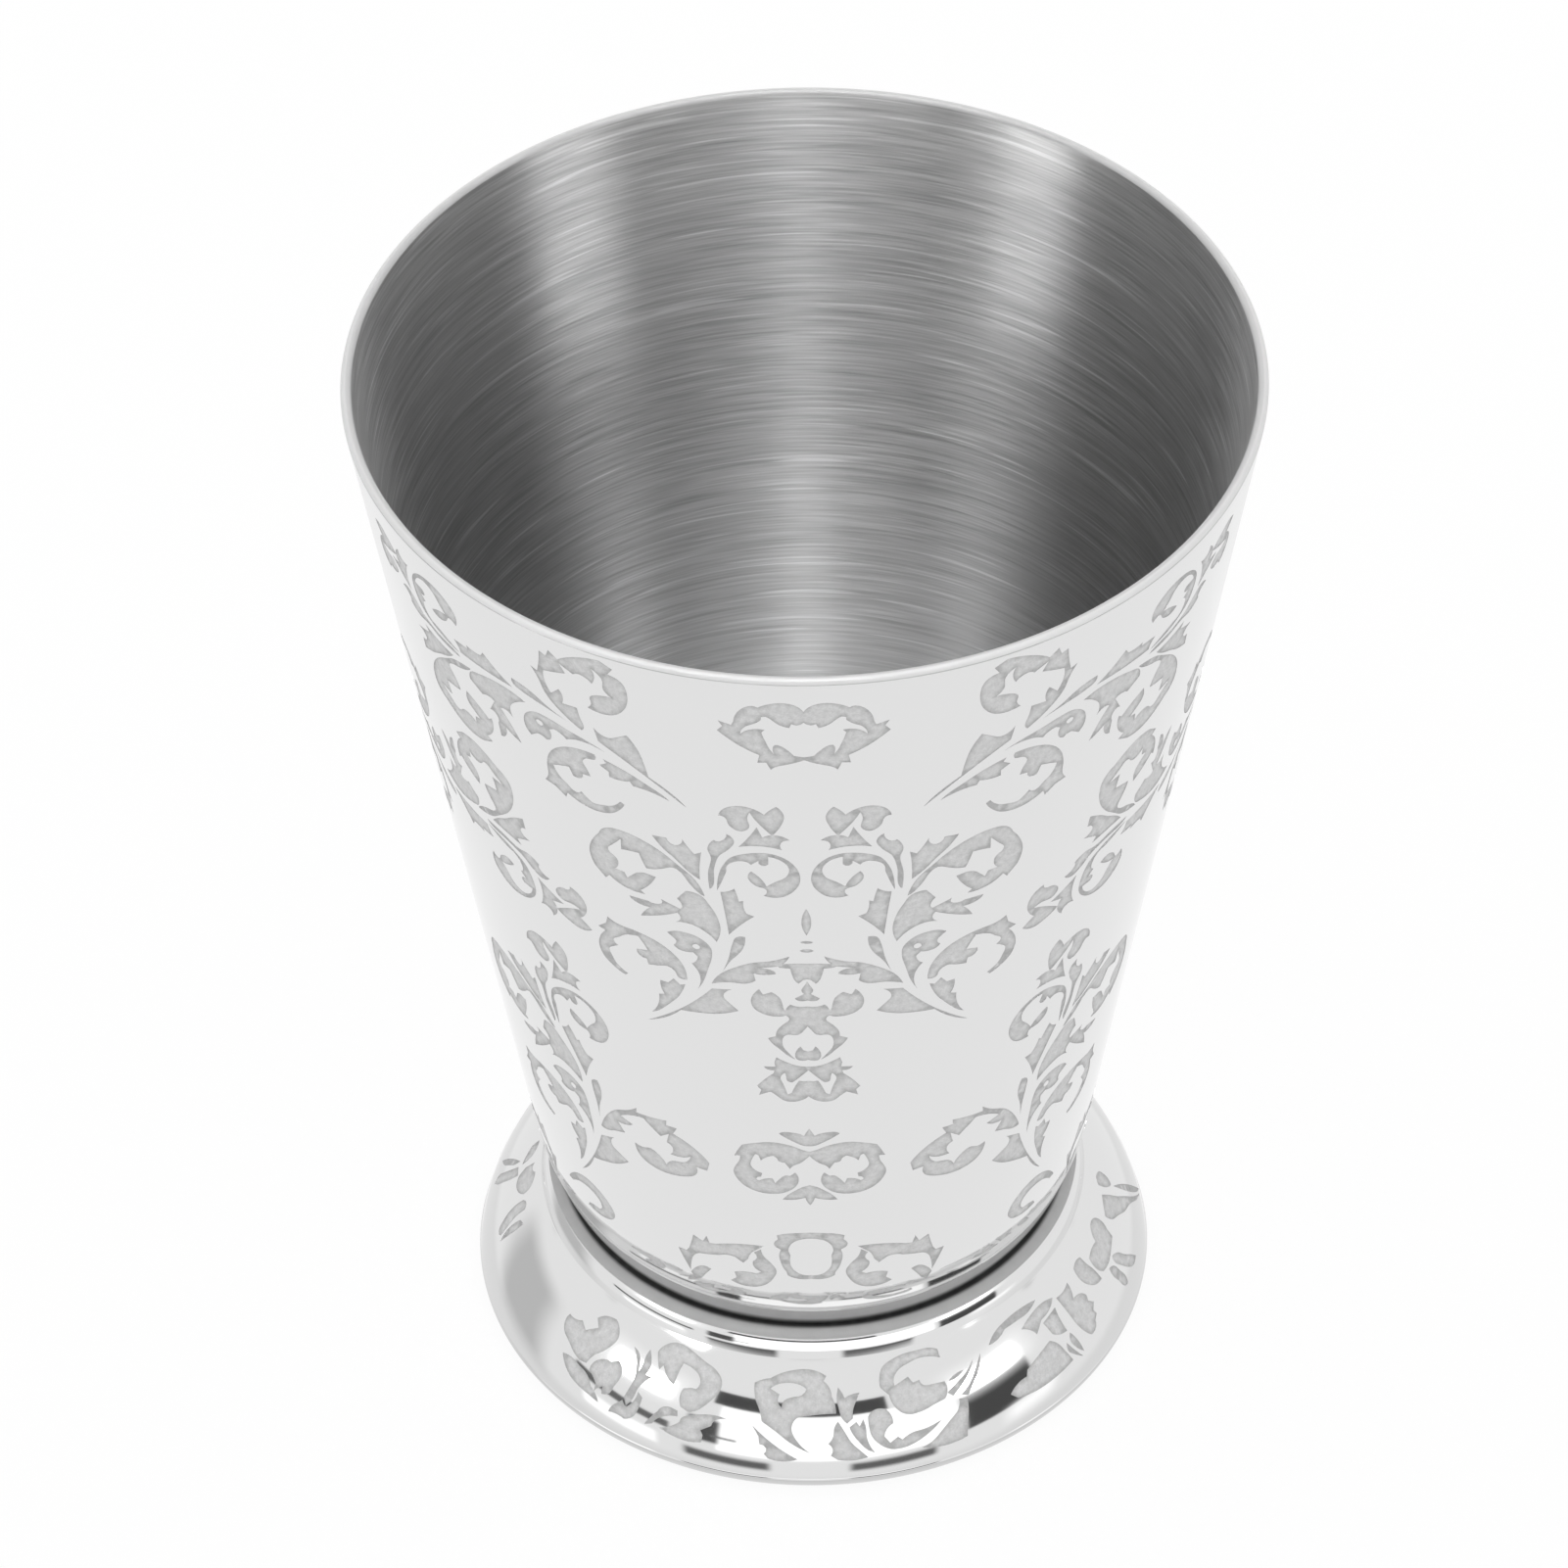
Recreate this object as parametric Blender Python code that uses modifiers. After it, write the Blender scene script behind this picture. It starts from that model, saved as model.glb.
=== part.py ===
"""Footed steel drinking cup: a drawn tapered cup brazed onto a hollow spun foot.

Metres, +Z up. The origin is on the floor, at the centre of the foot.
"""
import math

import bpy

# Cup, measured from the underside of its own bottom
RIM_RADIUS = 0.0430
CUP_HEIGHT = 0.1017
CUP_SHEET = 0.0010
LIP_ROUNDING = 0.00045
HEEL_TUCK = 0.0022
KNUCKLE_HEIGHT = 0.0055
KNUCKLE_CURVE = 0.0260
HEEL_CURVE = 0.0018

# Foot, measured from the floor
FOOT_RADIUS = 0.0342
FOOT_HEIGHT = 0.0146
FOOT_SHEET = 0.0009
SEAT_OPENING_RADIUS = 0.0170
BEAD_OVERHANG = 0.0016
BEAD_DEPTH = 0.0024
BEAD_LEAN = 0.0006
BEAD_CURVE = 0.0022
SKIRT_CURVE = 0.0180
HEM_CURVE = 0.00146
HEM_WIDTH = 0.0022
EDGE_ROUNDING = 0.0002

# Shared by the cup, the foot and the braze
SEAT_RADIUS = 0.0254
SEAT_GAP = 0.0003

# Braze, between the seat's inner edge and the cup's bottom
BRAZE_WIDTH = 0.0014
BRAZE_DEPTH = 0.0008

# Fineness of the faceted surfaces
TURN_STEPS = 64
ARC_TOLERANCE = 0.00002
EDGE_SEGMENTS = 3
BRAZE_SEGMENTS = 6
MERGE_DISTANCE = 0.00001
SHARP_ANGLE = math.radians(60)


def arc(centre, radius, start, end):
    """Points (radius, height) along an arc, from one angle to another."""
    step = 2 * math.acos(1 - ARC_TOLERANCE / radius)
    count = math.ceil(abs(end - start) / step)
    angles = [start + (end - start) * i / count for i in range(count + 1)]
    return [(centre[0] + radius * math.cos(a), centre[1] + radius * math.sin(a)) for a in angles]


def fillet(before, corner, after, radius):
    """An arc that rounds a corner of an outline, no larger than its two sides allow."""
    to_before = (before[0] - corner[0], before[1] - corner[1])
    to_after = (after[0] - corner[0], after[1] - corner[1])
    length_before = math.hypot(*to_before)
    length_after = math.hypot(*to_after)
    u = (to_before[0] / length_before, to_before[1] / length_before)
    v = (to_after[0] / length_after, to_after[1] / length_after)
    half_angle = math.acos(u[0] * v[0] + u[1] * v[1]) / 2
    setback = min(radius / math.tan(half_angle), length_before, length_after)
    radius = setback * math.tan(half_angle)
    to_centre = radius / math.sin(half_angle) / math.hypot(u[0] + v[0], u[1] + v[1])
    centre = (corner[0] + (u[0] + v[0]) * to_centre, corner[1] + (u[1] + v[1]) * to_centre)
    start = math.atan2(corner[1] + u[1] * setback - centre[1], corner[0] + u[0] * setback - centre[0])
    end = math.atan2(corner[1] + v[1] * setback - centre[1], corner[0] + v[0] * setback - centre[0])
    shorter_turn = (end - start + math.pi) % math.tau - math.pi
    return arc(centre, radius, start, start + shorter_turn)


def circle_crossing(centre_a, radius_a, centre_b, radius_b):
    """The crossing of two circles that lies nearer the axis."""
    across = (centre_b[0] - centre_a[0], centre_b[1] - centre_a[1])
    distance = math.hypot(*across)
    along = (radius_a ** 2 - radius_b ** 2 + distance ** 2) / (2 * distance)
    aside = math.sqrt(radius_a ** 2 - along ** 2)
    u = (across[0] / distance, across[1] / distance)
    crossings = [
        (centre_a[0] + u[0] * along + side * u[1] * aside, centre_a[1] + u[1] * along - side * u[0] * aside)
        for side in (-1, 1)
    ]
    return min(crossings)


def steel(name, colour, roughness):
    material = bpy.data.materials.new(name)
    material.use_nodes = True
    shader = material.node_tree.nodes["Principled BSDF"]
    shader.inputs["Base Color"].default_value = (*colour, 1)
    shader.inputs["Metallic"].default_value = 1
    shader.inputs["Roughness"].default_value = roughness
    return material


def turned(name, profile, material, closed=False):
    """A profile of (radius, height) points, turned about Z. It runs down the outside, from the top."""
    mesh = bpy.data.meshes.new(name)
    edges = [(i, i + 1) for i in range(len(profile) - 1)]
    if closed:
        edges.append((len(profile) - 1, 0))
    mesh.from_pydata([(radius, 0, height) for radius, height in profile], edges, [])
    mesh.materials.append(material)
    piece = bpy.data.objects.new(name, mesh)
    screw = piece.modifiers.new("turn", "SCREW")
    screw.axis = "Z"
    screw.angle = math.tau
    screw.steps = TURN_STEPS
    screw.render_steps = TURN_STEPS
    screw.use_merge_vertices = True
    screw.merge_threshold = MERGE_DISTANCE
    screw.use_smooth_shade = True
    return piece


def sheet_metal(piece, thickness, rounding):
    """Gives a turned skin its sheet thickness, inwards, and rounds the sheet's cut edges."""
    wall = piece.modifiers.new("sheet", "SOLIDIFY")
    wall.thickness = thickness
    wall.offset = -1
    wall.use_even_offset = True
    edge = piece.modifiers.new("edge", "BEVEL")
    edge.width = rounding
    edge.segments = EDGE_SEGMENTS
    edge.limit_method = "ANGLE"
    edge.angle_limit = SHARP_ANGLE


def make_cup(material):
    """The outside of the cup from its lip down: straight wall, soft knuckle, heel, flat bottom."""
    heel = (SEAT_RADIUS, 0)
    knuckle = (SEAT_RADIUS + HEEL_TUCK, KNUCKLE_HEIGHT)
    taper = math.atan2(RIM_RADIUS - knuckle[0], CUP_HEIGHT - knuckle[1])
    lip = (RIM_RADIUS, CUP_HEIGHT - CUP_SHEET * math.sin(taper))
    centre = (0, 0)
    between = ((knuckle[0] + heel[0]) / 2, (knuckle[1] + heel[1]) / 2)
    profile = [lip]
    profile += fillet(lip, knuckle, between, KNUCKLE_CURVE)
    profile += fillet(between, heel, centre, HEEL_CURVE)
    profile.append(centre)
    cup = turned("cup_body", profile, material)
    sheet_metal(cup, CUP_SHEET, LIP_ROUNDING)
    cup.location.z = FOOT_HEIGHT + SEAT_GAP
    return cup


def make_foot(material):
    """The outside of the foot from its seat down: bead, groove, bulging skirt, turned-in hem."""
    seat_edge = (SEAT_OPENING_RADIUS, FOOT_HEIGHT)
    bead_corner = (SEAT_RADIUS + BEAD_OVERHANG, FOOT_HEIGHT)
    groove = (bead_corner[0] + BEAD_LEAN, FOOT_HEIGHT - BEAD_DEPTH)
    hem_centre = (FOOT_RADIUS - HEM_CURVE, HEM_CURVE)
    skirt_centre = circle_crossing(groove, SKIRT_CURVE, hem_centre, SKIRT_CURVE - HEM_CURVE)
    skirt_top = math.atan2(groove[1] - skirt_centre[1], groove[0] - skirt_centre[0])
    skirt_foot = math.atan2(hem_centre[1] - skirt_centre[1], hem_centre[0] - skirt_centre[0])
    profile = [seat_edge]
    profile += fillet(seat_edge, bead_corner, groove, BEAD_CURVE)
    profile += arc(skirt_centre, SKIRT_CURVE, skirt_top, skirt_foot)
    profile += arc(hem_centre, HEM_CURVE, skirt_foot, -math.pi / 2)[1:]
    profile.append((hem_centre[0] - HEM_WIDTH, 0))
    foot = turned("foot", profile, material)
    sheet_metal(foot, FOOT_SHEET, EDGE_ROUNDING)
    return foot


def make_braze(material):
    """A hollow-faced fillet of filler metal under the cup, against the seat's inner edge."""
    outer = SEAT_OPENING_RADIUS - SEAT_GAP
    profile = [(outer, FOOT_HEIGHT)]
    for i in range(BRAZE_SEGMENTS + 1):
        angle = math.pi / 2 * i / BRAZE_SEGMENTS
        radius = outer - BRAZE_WIDTH * (1 - math.cos(angle))
        height = FOOT_HEIGHT - BRAZE_DEPTH * (1 - math.sin(angle))
        profile.append((radius, height))
    return turned("braze_ring", profile, material, closed=True)


def main():
    for old in list(bpy.data.objects):
        bpy.data.objects.remove(old)
    collection = bpy.data.collections.new("footed_cup")
    bpy.context.scene.collection.children.link(collection)
    stand = bpy.data.objects.new("cup_on_foot", None)
    collection.objects.link(stand)
    pieces = [
        make_cup(steel("polished_steel", (0.76, 0.76, 0.76), 0.12)),
        make_foot(steel("polished_foot_steel", (0.76, 0.76, 0.76), 0.08)),
        make_braze(steel("braze_metal", (0.70, 0.62, 0.44), 0.35)),
    ]
    for piece in pieces:
        collection.objects.link(piece)
        piece.parent = stand


main()
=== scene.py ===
# %% [markdown]
# # A footed steel cup with etched leaf scrolls
#
# The imported model already holds the cup's real size and its three pieces: the drawn cup, the spun foot and the
# braze between them. This script gives those pieces their looks. It first loads the imported model as a fixed
# frame.

# %% Load the frame
import math

import bpy
import numpy as np
from mathutils import Matrix, Vector, geometry, kdtree


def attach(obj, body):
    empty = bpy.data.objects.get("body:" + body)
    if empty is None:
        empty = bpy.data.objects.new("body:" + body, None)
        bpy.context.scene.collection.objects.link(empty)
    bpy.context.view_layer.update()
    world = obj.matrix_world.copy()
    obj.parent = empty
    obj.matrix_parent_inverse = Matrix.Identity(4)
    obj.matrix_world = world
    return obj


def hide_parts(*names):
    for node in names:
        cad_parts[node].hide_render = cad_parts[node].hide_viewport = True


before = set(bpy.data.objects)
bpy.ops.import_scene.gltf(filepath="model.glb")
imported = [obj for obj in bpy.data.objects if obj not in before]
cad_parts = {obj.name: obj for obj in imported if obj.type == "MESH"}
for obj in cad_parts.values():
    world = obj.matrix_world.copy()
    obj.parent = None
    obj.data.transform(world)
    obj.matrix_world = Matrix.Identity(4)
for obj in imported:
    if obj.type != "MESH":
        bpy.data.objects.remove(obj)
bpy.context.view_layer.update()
MM = 0.001
print("pieces in the frame:", sorted(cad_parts))

# %% [markdown]
# ## The camera
#
# The photograph looks down into the cup from about 43 degrees, through a long lens that hardly narrows the far
# side of the rim. A camera can be placed by eye, but here its distance, height and lens were worked out from
# the rim, the wall's edges and the foot, so the render lies on the photograph. The picture is square, so the
# lens follows from the sensor's width and a focal length in pixels.

# %% Place the camera
PHOTO_PIXELS = 1601
FOCAL_PIXELS = 7841.6
SENSOR_WIDTH = 36.0
AIM = Vector((-2.403, 0, 64.339)) * MM
CAMERA_DISTANCE = 745.18 * MM
CAMERA_ELEVATION = math.radians(42.896)
CAMERA_ROLL = math.radians(-0.779)

bpy.ops.object.select_all(action="DESELECT")
bpy.ops.object.camera_add()
camera = bpy.context.object
camera.name = "photo_camera"
camera.data.sensor_width = SENSOR_WIDTH
camera.data.lens = FOCAL_PIXELS * SENSOR_WIDTH / PHOTO_PIXELS
toward_camera = Vector((0, -math.cos(CAMERA_ELEVATION), math.sin(CAMERA_ELEVATION)))
tilt = Matrix.Rotation(math.pi / 2 - CAMERA_ELEVATION, 4, "X")
roll = Matrix.Rotation(CAMERA_ROLL, 4, "Z")
camera.matrix_world = Matrix.Translation(AIM + toward_camera * CAMERA_DISTANCE) @ tilt @ roll
bpy.context.scene.camera = camera
bpy.context.scene.view_settings.view_transform = "Standard"
print("lens", round(camera.data.lens, 1), "mm")

# %% [markdown]
# ## Shader sums as plain Python
#
# A material is a network of nodes, and sums in it are Math nodes. Wiring each one by hand is slow to write and
# hard to read, so a small class wraps a socket: adding or multiplying two of them makes the Math node. Every
# other kind of node comes from one method, which sets the node up first and then fills its sockets.

# %% A socket that does sums
class Wire:
    """A shader socket on which Python's operators add Math nodes."""

    def __init__(self, socket):
        self.socket = socket

    @classmethod
    def node(cls, tree, kind, settings=None, sockets=None, out=0):
        """Adds a node, sets it up, then gives its sockets a value or a link."""
        made = tree.nodes.new(kind)
        for name, value in (settings or {}).items():
            setattr(made, name, value)
        for name, value in (sockets or {}).items():
            if isinstance(value, Wire):
                tree.links.new(value.socket, made.inputs[name])
            else:
                made.inputs[name].default_value = value
        return cls(made.outputs[out])

    def sum(self, operation, first, second):
        tree = self.socket.id_data
        return Wire.node(tree, "ShaderNodeMath", {"operation": operation}, {0: first, 1: second})

    def __add__(self, other):
        return self.sum("ADD", self, other)

    def __radd__(self, other):
        return self.sum("ADD", other, self)

    def __sub__(self, other):
        return self.sum("SUBTRACT", self, other)

    def __rsub__(self, other):
        return self.sum("SUBTRACT", other, self)

    def __mul__(self, other):
        return self.sum("MULTIPLY", self, other)

    def __rmul__(self, other):
        return self.sum("MULTIPLY", other, self)

    def __pow__(self, other):
        return self.sum("POWER", self, other)

    def larger(self, other):
        return self.sum("MAXIMUM", self, other)

    def rising(self, low, high):
        """0 below low, 1 above high, and a soft step between."""
        tree = self.socket.id_data
        ends = {"Value": self, "From Min": low, "From Max": high}
        return Wire.node(tree, "ShaderNodeMapRange", {"interpolation_type": "SMOOTHSTEP"}, ends)


print("socket class ready:", Wire.__name__)

# %% [markdown]
# ## The studio
#
# Polished steel has no colour of its own to speak of: what it shows is the room. The photograph seems to be
# taken in a white tent, and the foot mirrors its parts: a bright panel in front with a dark gap above, below and
# beside it, and a lamp box to the left and right. The brushed inside shows those boxes as two pale bands, a
# strip of lamps overhead as a third, and the unlit upper corners of the tent as its dark sides. A lamp is far
# brighter than the tent, so its panel has a level well above 1. Lamps and cards could stand round the cup, but
# they would get into other views, so the world is painted instead: plain white for the camera and for the
# floor's light, and white with these panels and gaps for what the metal mirrors.

# %% Paint the studio round the cup
# Each panel: middle azimuth and half width, low and high elevation, in degrees, its soft edge, and its level.
# Azimuth 0 is towards the camera, and positive is to the right. A later panel lies over an earlier one.
STUDIO_PANELS = {
    "near floor": (0, 181, -42, -24, 3, 0.86),
    "front panel": (7, 37, -11, 19, 0.8, 1.5),
    "gap above it": (-5, 28, 19.5, 28, 0.5, 0.08),
    "left gap below it": (-27, 13, -19.5, -14, 1.5, 0.14),
    "right gap below it": (23, 13, -19.5, -14, 1.5, 0.14),
    "gap to its right": (58, 12, -11.5, 10, 0.8, 0.08),
    "gap to its left": (-34.5, 5, -7, 8, 1.2, 0.1),
    "end of that gap": (-28, 4, -3, -1.6, 0.6, 0.2),
    "left table edge": (-62, 17, -7, -2.5, 0.8, 0.15),
    "far left grey": (-107, 13, -25, 10, 6, 0.6),
    "low left glow": (-62, 13, -20, -12.5, 1.5, 1.4),
    "low right glow": (69, 9, -20, -12, 4, 1.3),
    "left lamp glow": (-58, 16, 9, 27, 6, 1.2),
    "left lamp box": (-58, 9, 13, 21, 4, 13),
    "right lamp glow": (58, 16, 9, 27, 6, 1.2),
    "right lamp box": (57, 10, 13, 21, 4, 11.5),
    "unlit left": (-112, 25, 38, 58, 3, 0.05),
    "unlit right": (114, 23, 35, 58, 3, 0.02),
    "unlit far left": (-125, 9, 22, 58, 3, 0.05),
    "unlit far right": (125, 9, 22, 58, 3, 0.2),
    "high left lamp box": (-66, 17, 48, 58, 3, 10),
    "high right lamp box": (76, 9, 46, 58, 3, 7.6),
    "overhead": (0, 181, 58, 91, 2, 1.2),
    "grey in front of it": (0, 46, 57, 70, 2, 0.45),
    "middle of it": (0, 181, 70, 91, 2, 5.8),
    "right side of it": (88, 40, 58, 84, 3, 0.3),
    "left lamp over it": (-44, 16, 62, 82, 4, 9.5),
    "right lamp over it": (44, 16, 62, 82, 4, 5.5),
    "strip light": (4, 19, 70, 91, 4, 30),
    "strip light behind": (172, 12, 58, 91, 4, 11),
    "other side of it": (-172, 9, 58, 91, 4, 11),
}
ROOM_LEVEL = 0.97

world = bpy.data.worlds.new("white_tent")
bpy.context.scene.world = world
world.use_nodes = True
tree = world.node_tree
direction = Wire.node(tree, "ShaderNodeTexCoord")
split = Wire.node(tree, "ShaderNodeSeparateXYZ", sockets={0: direction})
east, north, height = [Wire(socket) for socket in split.socket.node.outputs]
to_degrees = 180 / math.pi
azimuth = east.sum("ARCTAN2", east, north * -1) * to_degrees
elevation = height.sum("ARCSINE", height, 0) * to_degrees
room = Wire.node(tree, "ShaderNodeValue")
room.socket.default_value = ROOM_LEVEL
for middle, half, low, high, soft, level in STUDIO_PANELS.values():
    aside = azimuth - middle
    aside = aside.sum("ABSOLUTE", aside, 0)
    inside = 1 - aside.rising(half - soft, half + soft)
    inside = inside * elevation.rising(low - soft, low + soft)
    inside = inside * (1 - elevation.rising(high - soft, high + soft))
    room = room + (level - room) * inside
mirrored = Wire.node(tree, "ShaderNodeLightPath", out="Is Glossy Ray")
strength = 1 + (room - 1) * mirrored
background = tree.nodes["Background"]
background.inputs["Color"].default_value = (1, 1, 1, 1)
tree.links.new(strength.socket, background.inputs["Strength"])
print(len(STUDIO_PANELS), "panels and gaps painted")

# %% [markdown]
# ## The floor
#
# The cup stands on a plain white sweep that runs out of the picture. It is mostly seen as plain white, and the
# rest of it is ordinary white card, so that a soft shadow stays under the foot. The steel doesn't mirror the
# card itself but the painted studio, which goes on below the horizon: the photograph's foot seems to mirror a
# table edge there.

# %% Lay the floor
FLOOR_SIZE = 8.0
FLOOR_GLOW = 0.92
CARD_WHITE = (0.97, 0.97, 0.97, 1)
CARD_ROUGHNESS = 0.9

bpy.ops.object.select_all(action="DESELECT")
bpy.ops.mesh.primitive_plane_add(size=FLOOR_SIZE)
floor = bpy.context.object
floor.name = "floor"
card = bpy.data.materials.new("white_card")
card.use_nodes = True
tree = card.node_tree
shade = tree.nodes["Principled BSDF"]
shade.inputs["Base Color"].default_value = CARD_WHITE
shade.inputs["Roughness"].default_value = CARD_ROUGHNESS
shade.inputs["Specular IOR Level"].default_value = 0
rays = Wire.node(tree, "ShaderNodeLightPath").socket.node.outputs
looked_at = Wire(rays["Is Camera Ray"]).larger(Wire(rays["Is Glossy Ray"]))
looked_at = looked_at.larger(Wire(rays["Is Transmission Ray"]))
glow = Wire.node(tree, "ShaderNodeEmission", sockets={"Color": (1, 1, 1, 1), "Strength": 1.0})
mixing = {0: looked_at * FLOOR_GLOW, 1: Wire(shade.outputs[0]), 2: glow}
mixed = Wire.node(tree, "ShaderNodeMixShader", sockets=mixing)
tree.links.new(mixed.socket, tree.nodes["Material Output"].inputs["Surface"])
floor.data.materials.append(card)
floor.visible_glossy = False
print("floor", FLOOR_SIZE, "m wide")

# %% [markdown]
# ## What the finishes share
#
# Every finish of the cup is one Principled shader of metal, which varies with noise over the piece's own
# coordinates. Some of the steel is so finely roughened that it scatters light much like a grey stone: there
# most of the metal's shine is taken away. The cup is round, so a few finishes depend on the distance from its
# axis.

# %% Tools for a finish
def new_finish(name):
    """A material with its tree, its shader and the piece's own coordinates."""
    material = bpy.data.materials.new(name)
    material.use_nodes = True
    tree = material.node_tree
    place = Wire.node(tree, "ShaderNodeTexCoord", out="Object")
    shader = tree.nodes["Principled BSDF"]
    shader.inputs["Metallic"].default_value = 1
    return material, tree, shader, place


def stretched_noise(tree, place, scale, turn=(0, 0, 0), detail=2.0):
    """Noise with its own scale along each axis: the smaller the scale, the longer the streaks."""
    laying = {"Vector": place, "Rotation": turn, "Scale": scale}
    laid = Wire.node(tree, "ShaderNodeMapping", {"vector_type": "POINT"}, laying)
    return Wire.node(tree, "ShaderNodeTexNoise", sockets={"Vector": laid, "Scale": 1.0, "Detail": detail})


def even_noise(tree, place, scale, detail=2.0):
    """Noise with the same scale along every axis."""
    return stretched_noise(tree, place, (scale, scale, scale), detail=detail)


def paint_grey(tree, shader, grey):
    """Gives a finish a grey that varies from place to place."""
    colour = Wire.node(tree, "ShaderNodeCombineColor", sockets={0: grey, 1: grey, 2: grey})
    tree.links.new(colour.socket, shader.inputs["Base Color"])


def take_shine(shader, metal):
    """Leaves only a share of the metal's shine, so that the rest scatters light evenly."""
    shader.inputs["Metallic"].default_value = metal
    shader.inputs["Specular IOR Level"].default_value = 0


def axis_distance(tree, place):
    """The distance of a place from the cup's axis."""
    flat = Wire.node(tree, "ShaderNodeMapping", sockets={"Vector": place, "Scale": (1, 1, 0)})
    return Wire.node(tree, "ShaderNodeVectorMath", {"operation": "LENGTH"}, {0: flat}, out="Value")


print("finishes so far:", len(bpy.data.materials))

# %% [markdown]
# ## Polished steel
#
# The outside of the cup and of the foot is buffed to a mirror. A mirror with one roughness all over looks like
# glass, so a faint cloudiness of the buffing changes the roughness a little from place to place.

# %% Make the polished finish
POLISHED_GREY = 0.77
POLISHED_ROUGHNESS = 0.045
BUFFING_SPREAD = 0.03
BUFFING_SCALE = 140.0


def buffed(name, grey, low_roughness):
    """Steel that is buffed a little unevenly."""
    material, tree, shader, place = new_finish(name)
    shader.inputs["Base Color"].default_value = (grey, grey, grey, 1)
    roughness = low_roughness + even_noise(tree, place, BUFFING_SCALE) * BUFFING_SPREAD
    tree.links.new(roughness.socket, shader.inputs["Roughness"])
    return material


polished = buffed("polished_steel", POLISHED_GREY, POLISHED_ROUGHNESS)
print("finish:", polished.name)

# %% [markdown]
# ## Satin steel
#
# In the photograph the lip is an even pale line round the rim that mirrors nothing clearly, as if it was
# rounded over last, with a fine file or a belt, and not polished again. Its outer half is painted a little
# brighter than the inner half: painted light, as the outer rounding faces the open room and the inner one the
# dark inside of the cup.

# %% Make the satin finish
SATIN_GREY = 0.58
OUTER_HALF_PAINTED_LIGHT_GREY = 0.7
LIP_INNER_HALF = 42.3
LIP_OUTER_HALF = 42.55
SATIN_METAL = 0.12
SATIN_ROUGHNESS = 0.45
SATIN_SPREAD = 0.1

satin, tree, shader, place = new_finish("satin_steel")
take_shine(shader, SATIN_METAL)
# Painted light: the outer half of the lip gets a brighter grey than the inner half.
painted_light_outer_half = axis_distance(tree, place).rising(LIP_INNER_HALF * MM, LIP_OUTER_HALF * MM)
paint_grey(tree, shader, SATIN_GREY + painted_light_outer_half * (OUTER_HALF_PAINTED_LIGHT_GREY - SATIN_GREY))
roughness = SATIN_ROUGHNESS + even_noise(tree, place, BUFFING_SCALE) * SATIN_SPREAD
tree.links.new(roughness.socket, shader.inputs["Roughness"])
print("finish:", satin.name)

# %% [markdown]
# ## Etched steel
#
# The leaf scrolls are eaten into the polish with acid. The floor of an etched leaf is finely grained and matt,
# so it looks darker than the mirror round it. Along its edge its grey is painted darker still, as painted shade
# at the rim of the shallow recess. The mesh carries a value named edge, which is 1 on the outline and 0 inside,
# so the finish and its painted shade can follow every leaf.
# A coarser noise than the grain makes the bite uneven from one spot of a leaf to the next.

# %% Make the etched finish
ETCHED_GREY = 0.6
ETCHED_EDGE_SHADE_GREY = 0.44
ETCHED_ROUGHNESS = 0.6
ETCHED_METAL = 0.15
EDGE_SHADE_FADE = 1.5
GRAIN_SCALE = 5500.0
GRAIN_CONTRAST = 0.16
GRAIN_ROUGHNESS = 0.12
GRAIN_DEPTH = 0.01
GRAIN_STRENGTH = 0.25
MOTTLE_SCALE = 1900.0
MOTTLE_CONTRAST = 0.22

etched, tree, shader, place = new_finish("etched_steel")
take_shine(shader, ETCHED_METAL)
grain = even_noise(tree, place, GRAIN_SCALE, detail=1.0)
mottle = even_noise(tree, place, MOTTLE_SCALE)
edge = Wire.node(tree, "ShaderNodeAttribute", {"attribute_name": "edge"}, out="Fac")
# Painted shade: the grey is darker towards each leaf's outline.
grey = ETCHED_GREY - (ETCHED_GREY - ETCHED_EDGE_SHADE_GREY) * edge ** EDGE_SHADE_FADE
paint_grey(tree, shader, grey + (grain - 0.5) * GRAIN_CONTRAST + (mottle - 0.5) * MOTTLE_CONTRAST)
roughness = ETCHED_ROUGHNESS + (grain - 0.5) * GRAIN_ROUGHNESS
tree.links.new(roughness.socket, shader.inputs["Roughness"])
bite = {"Strength": GRAIN_STRENGTH, "Distance": GRAIN_DEPTH * MM, "Height": grain}
bitten = Wire.node(tree, "ShaderNodeBump", sockets=bite)
tree.links.new(bitten.socket, shader.inputs["Normal"])
print("finish:", etched.name)

# %% [markdown]
# ## Brushed steel
#
# The inside keeps the fine scratches of a belt that ran round it. They smear every reflection across
# themselves, up and down the wall, which makes the broad pale and dark bands. That smear is the shader's
# anisotropy; the scratches themselves are noise that is drawn out long round the cup and very short up the
# wall, in two layers that cross at a small angle. A third layer keeps only its peaks, as a few deeper scratches
# whose grey is painted brighter: painted glints. Deep down the steel is painted a little brighter too, as
# painted light.

# %% Make the brushed finish
BRUSHED_GREY = 0.48
DEEP_PAINTED_LIGHT_GREY = 0.58
DEEP_HEIGHT = 40.0
PAINTED_LIGHT_TOP = 85.0
BRUSHED_ROUGHNESS = 0.34
BRUSHED_ANISOTROPY = 1.0
UP_THE_INSIDE = 0.25
FINE_SCRATCHES = (120.0, 120.0, 4200.0)
COARSE_SCRATCHES = (70.0, 70.0, 2100.0)
DEEP_SCRATCHES = (80.0, 80.0, 2800.0)
CROSSING = math.radians(1.0)
FINE_SHARE = 0.6
COARSE_SHARE = 0.4
SCRATCH_CONTRAST = 0.55
SCRATCH_ROUGHNESS = 0.15
SCRATCH_DEPTH = 0.04
DEEP_PEAKS = (0.66, 0.8)
PAINTED_GLINT_CONTRAST = 0.14

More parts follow.
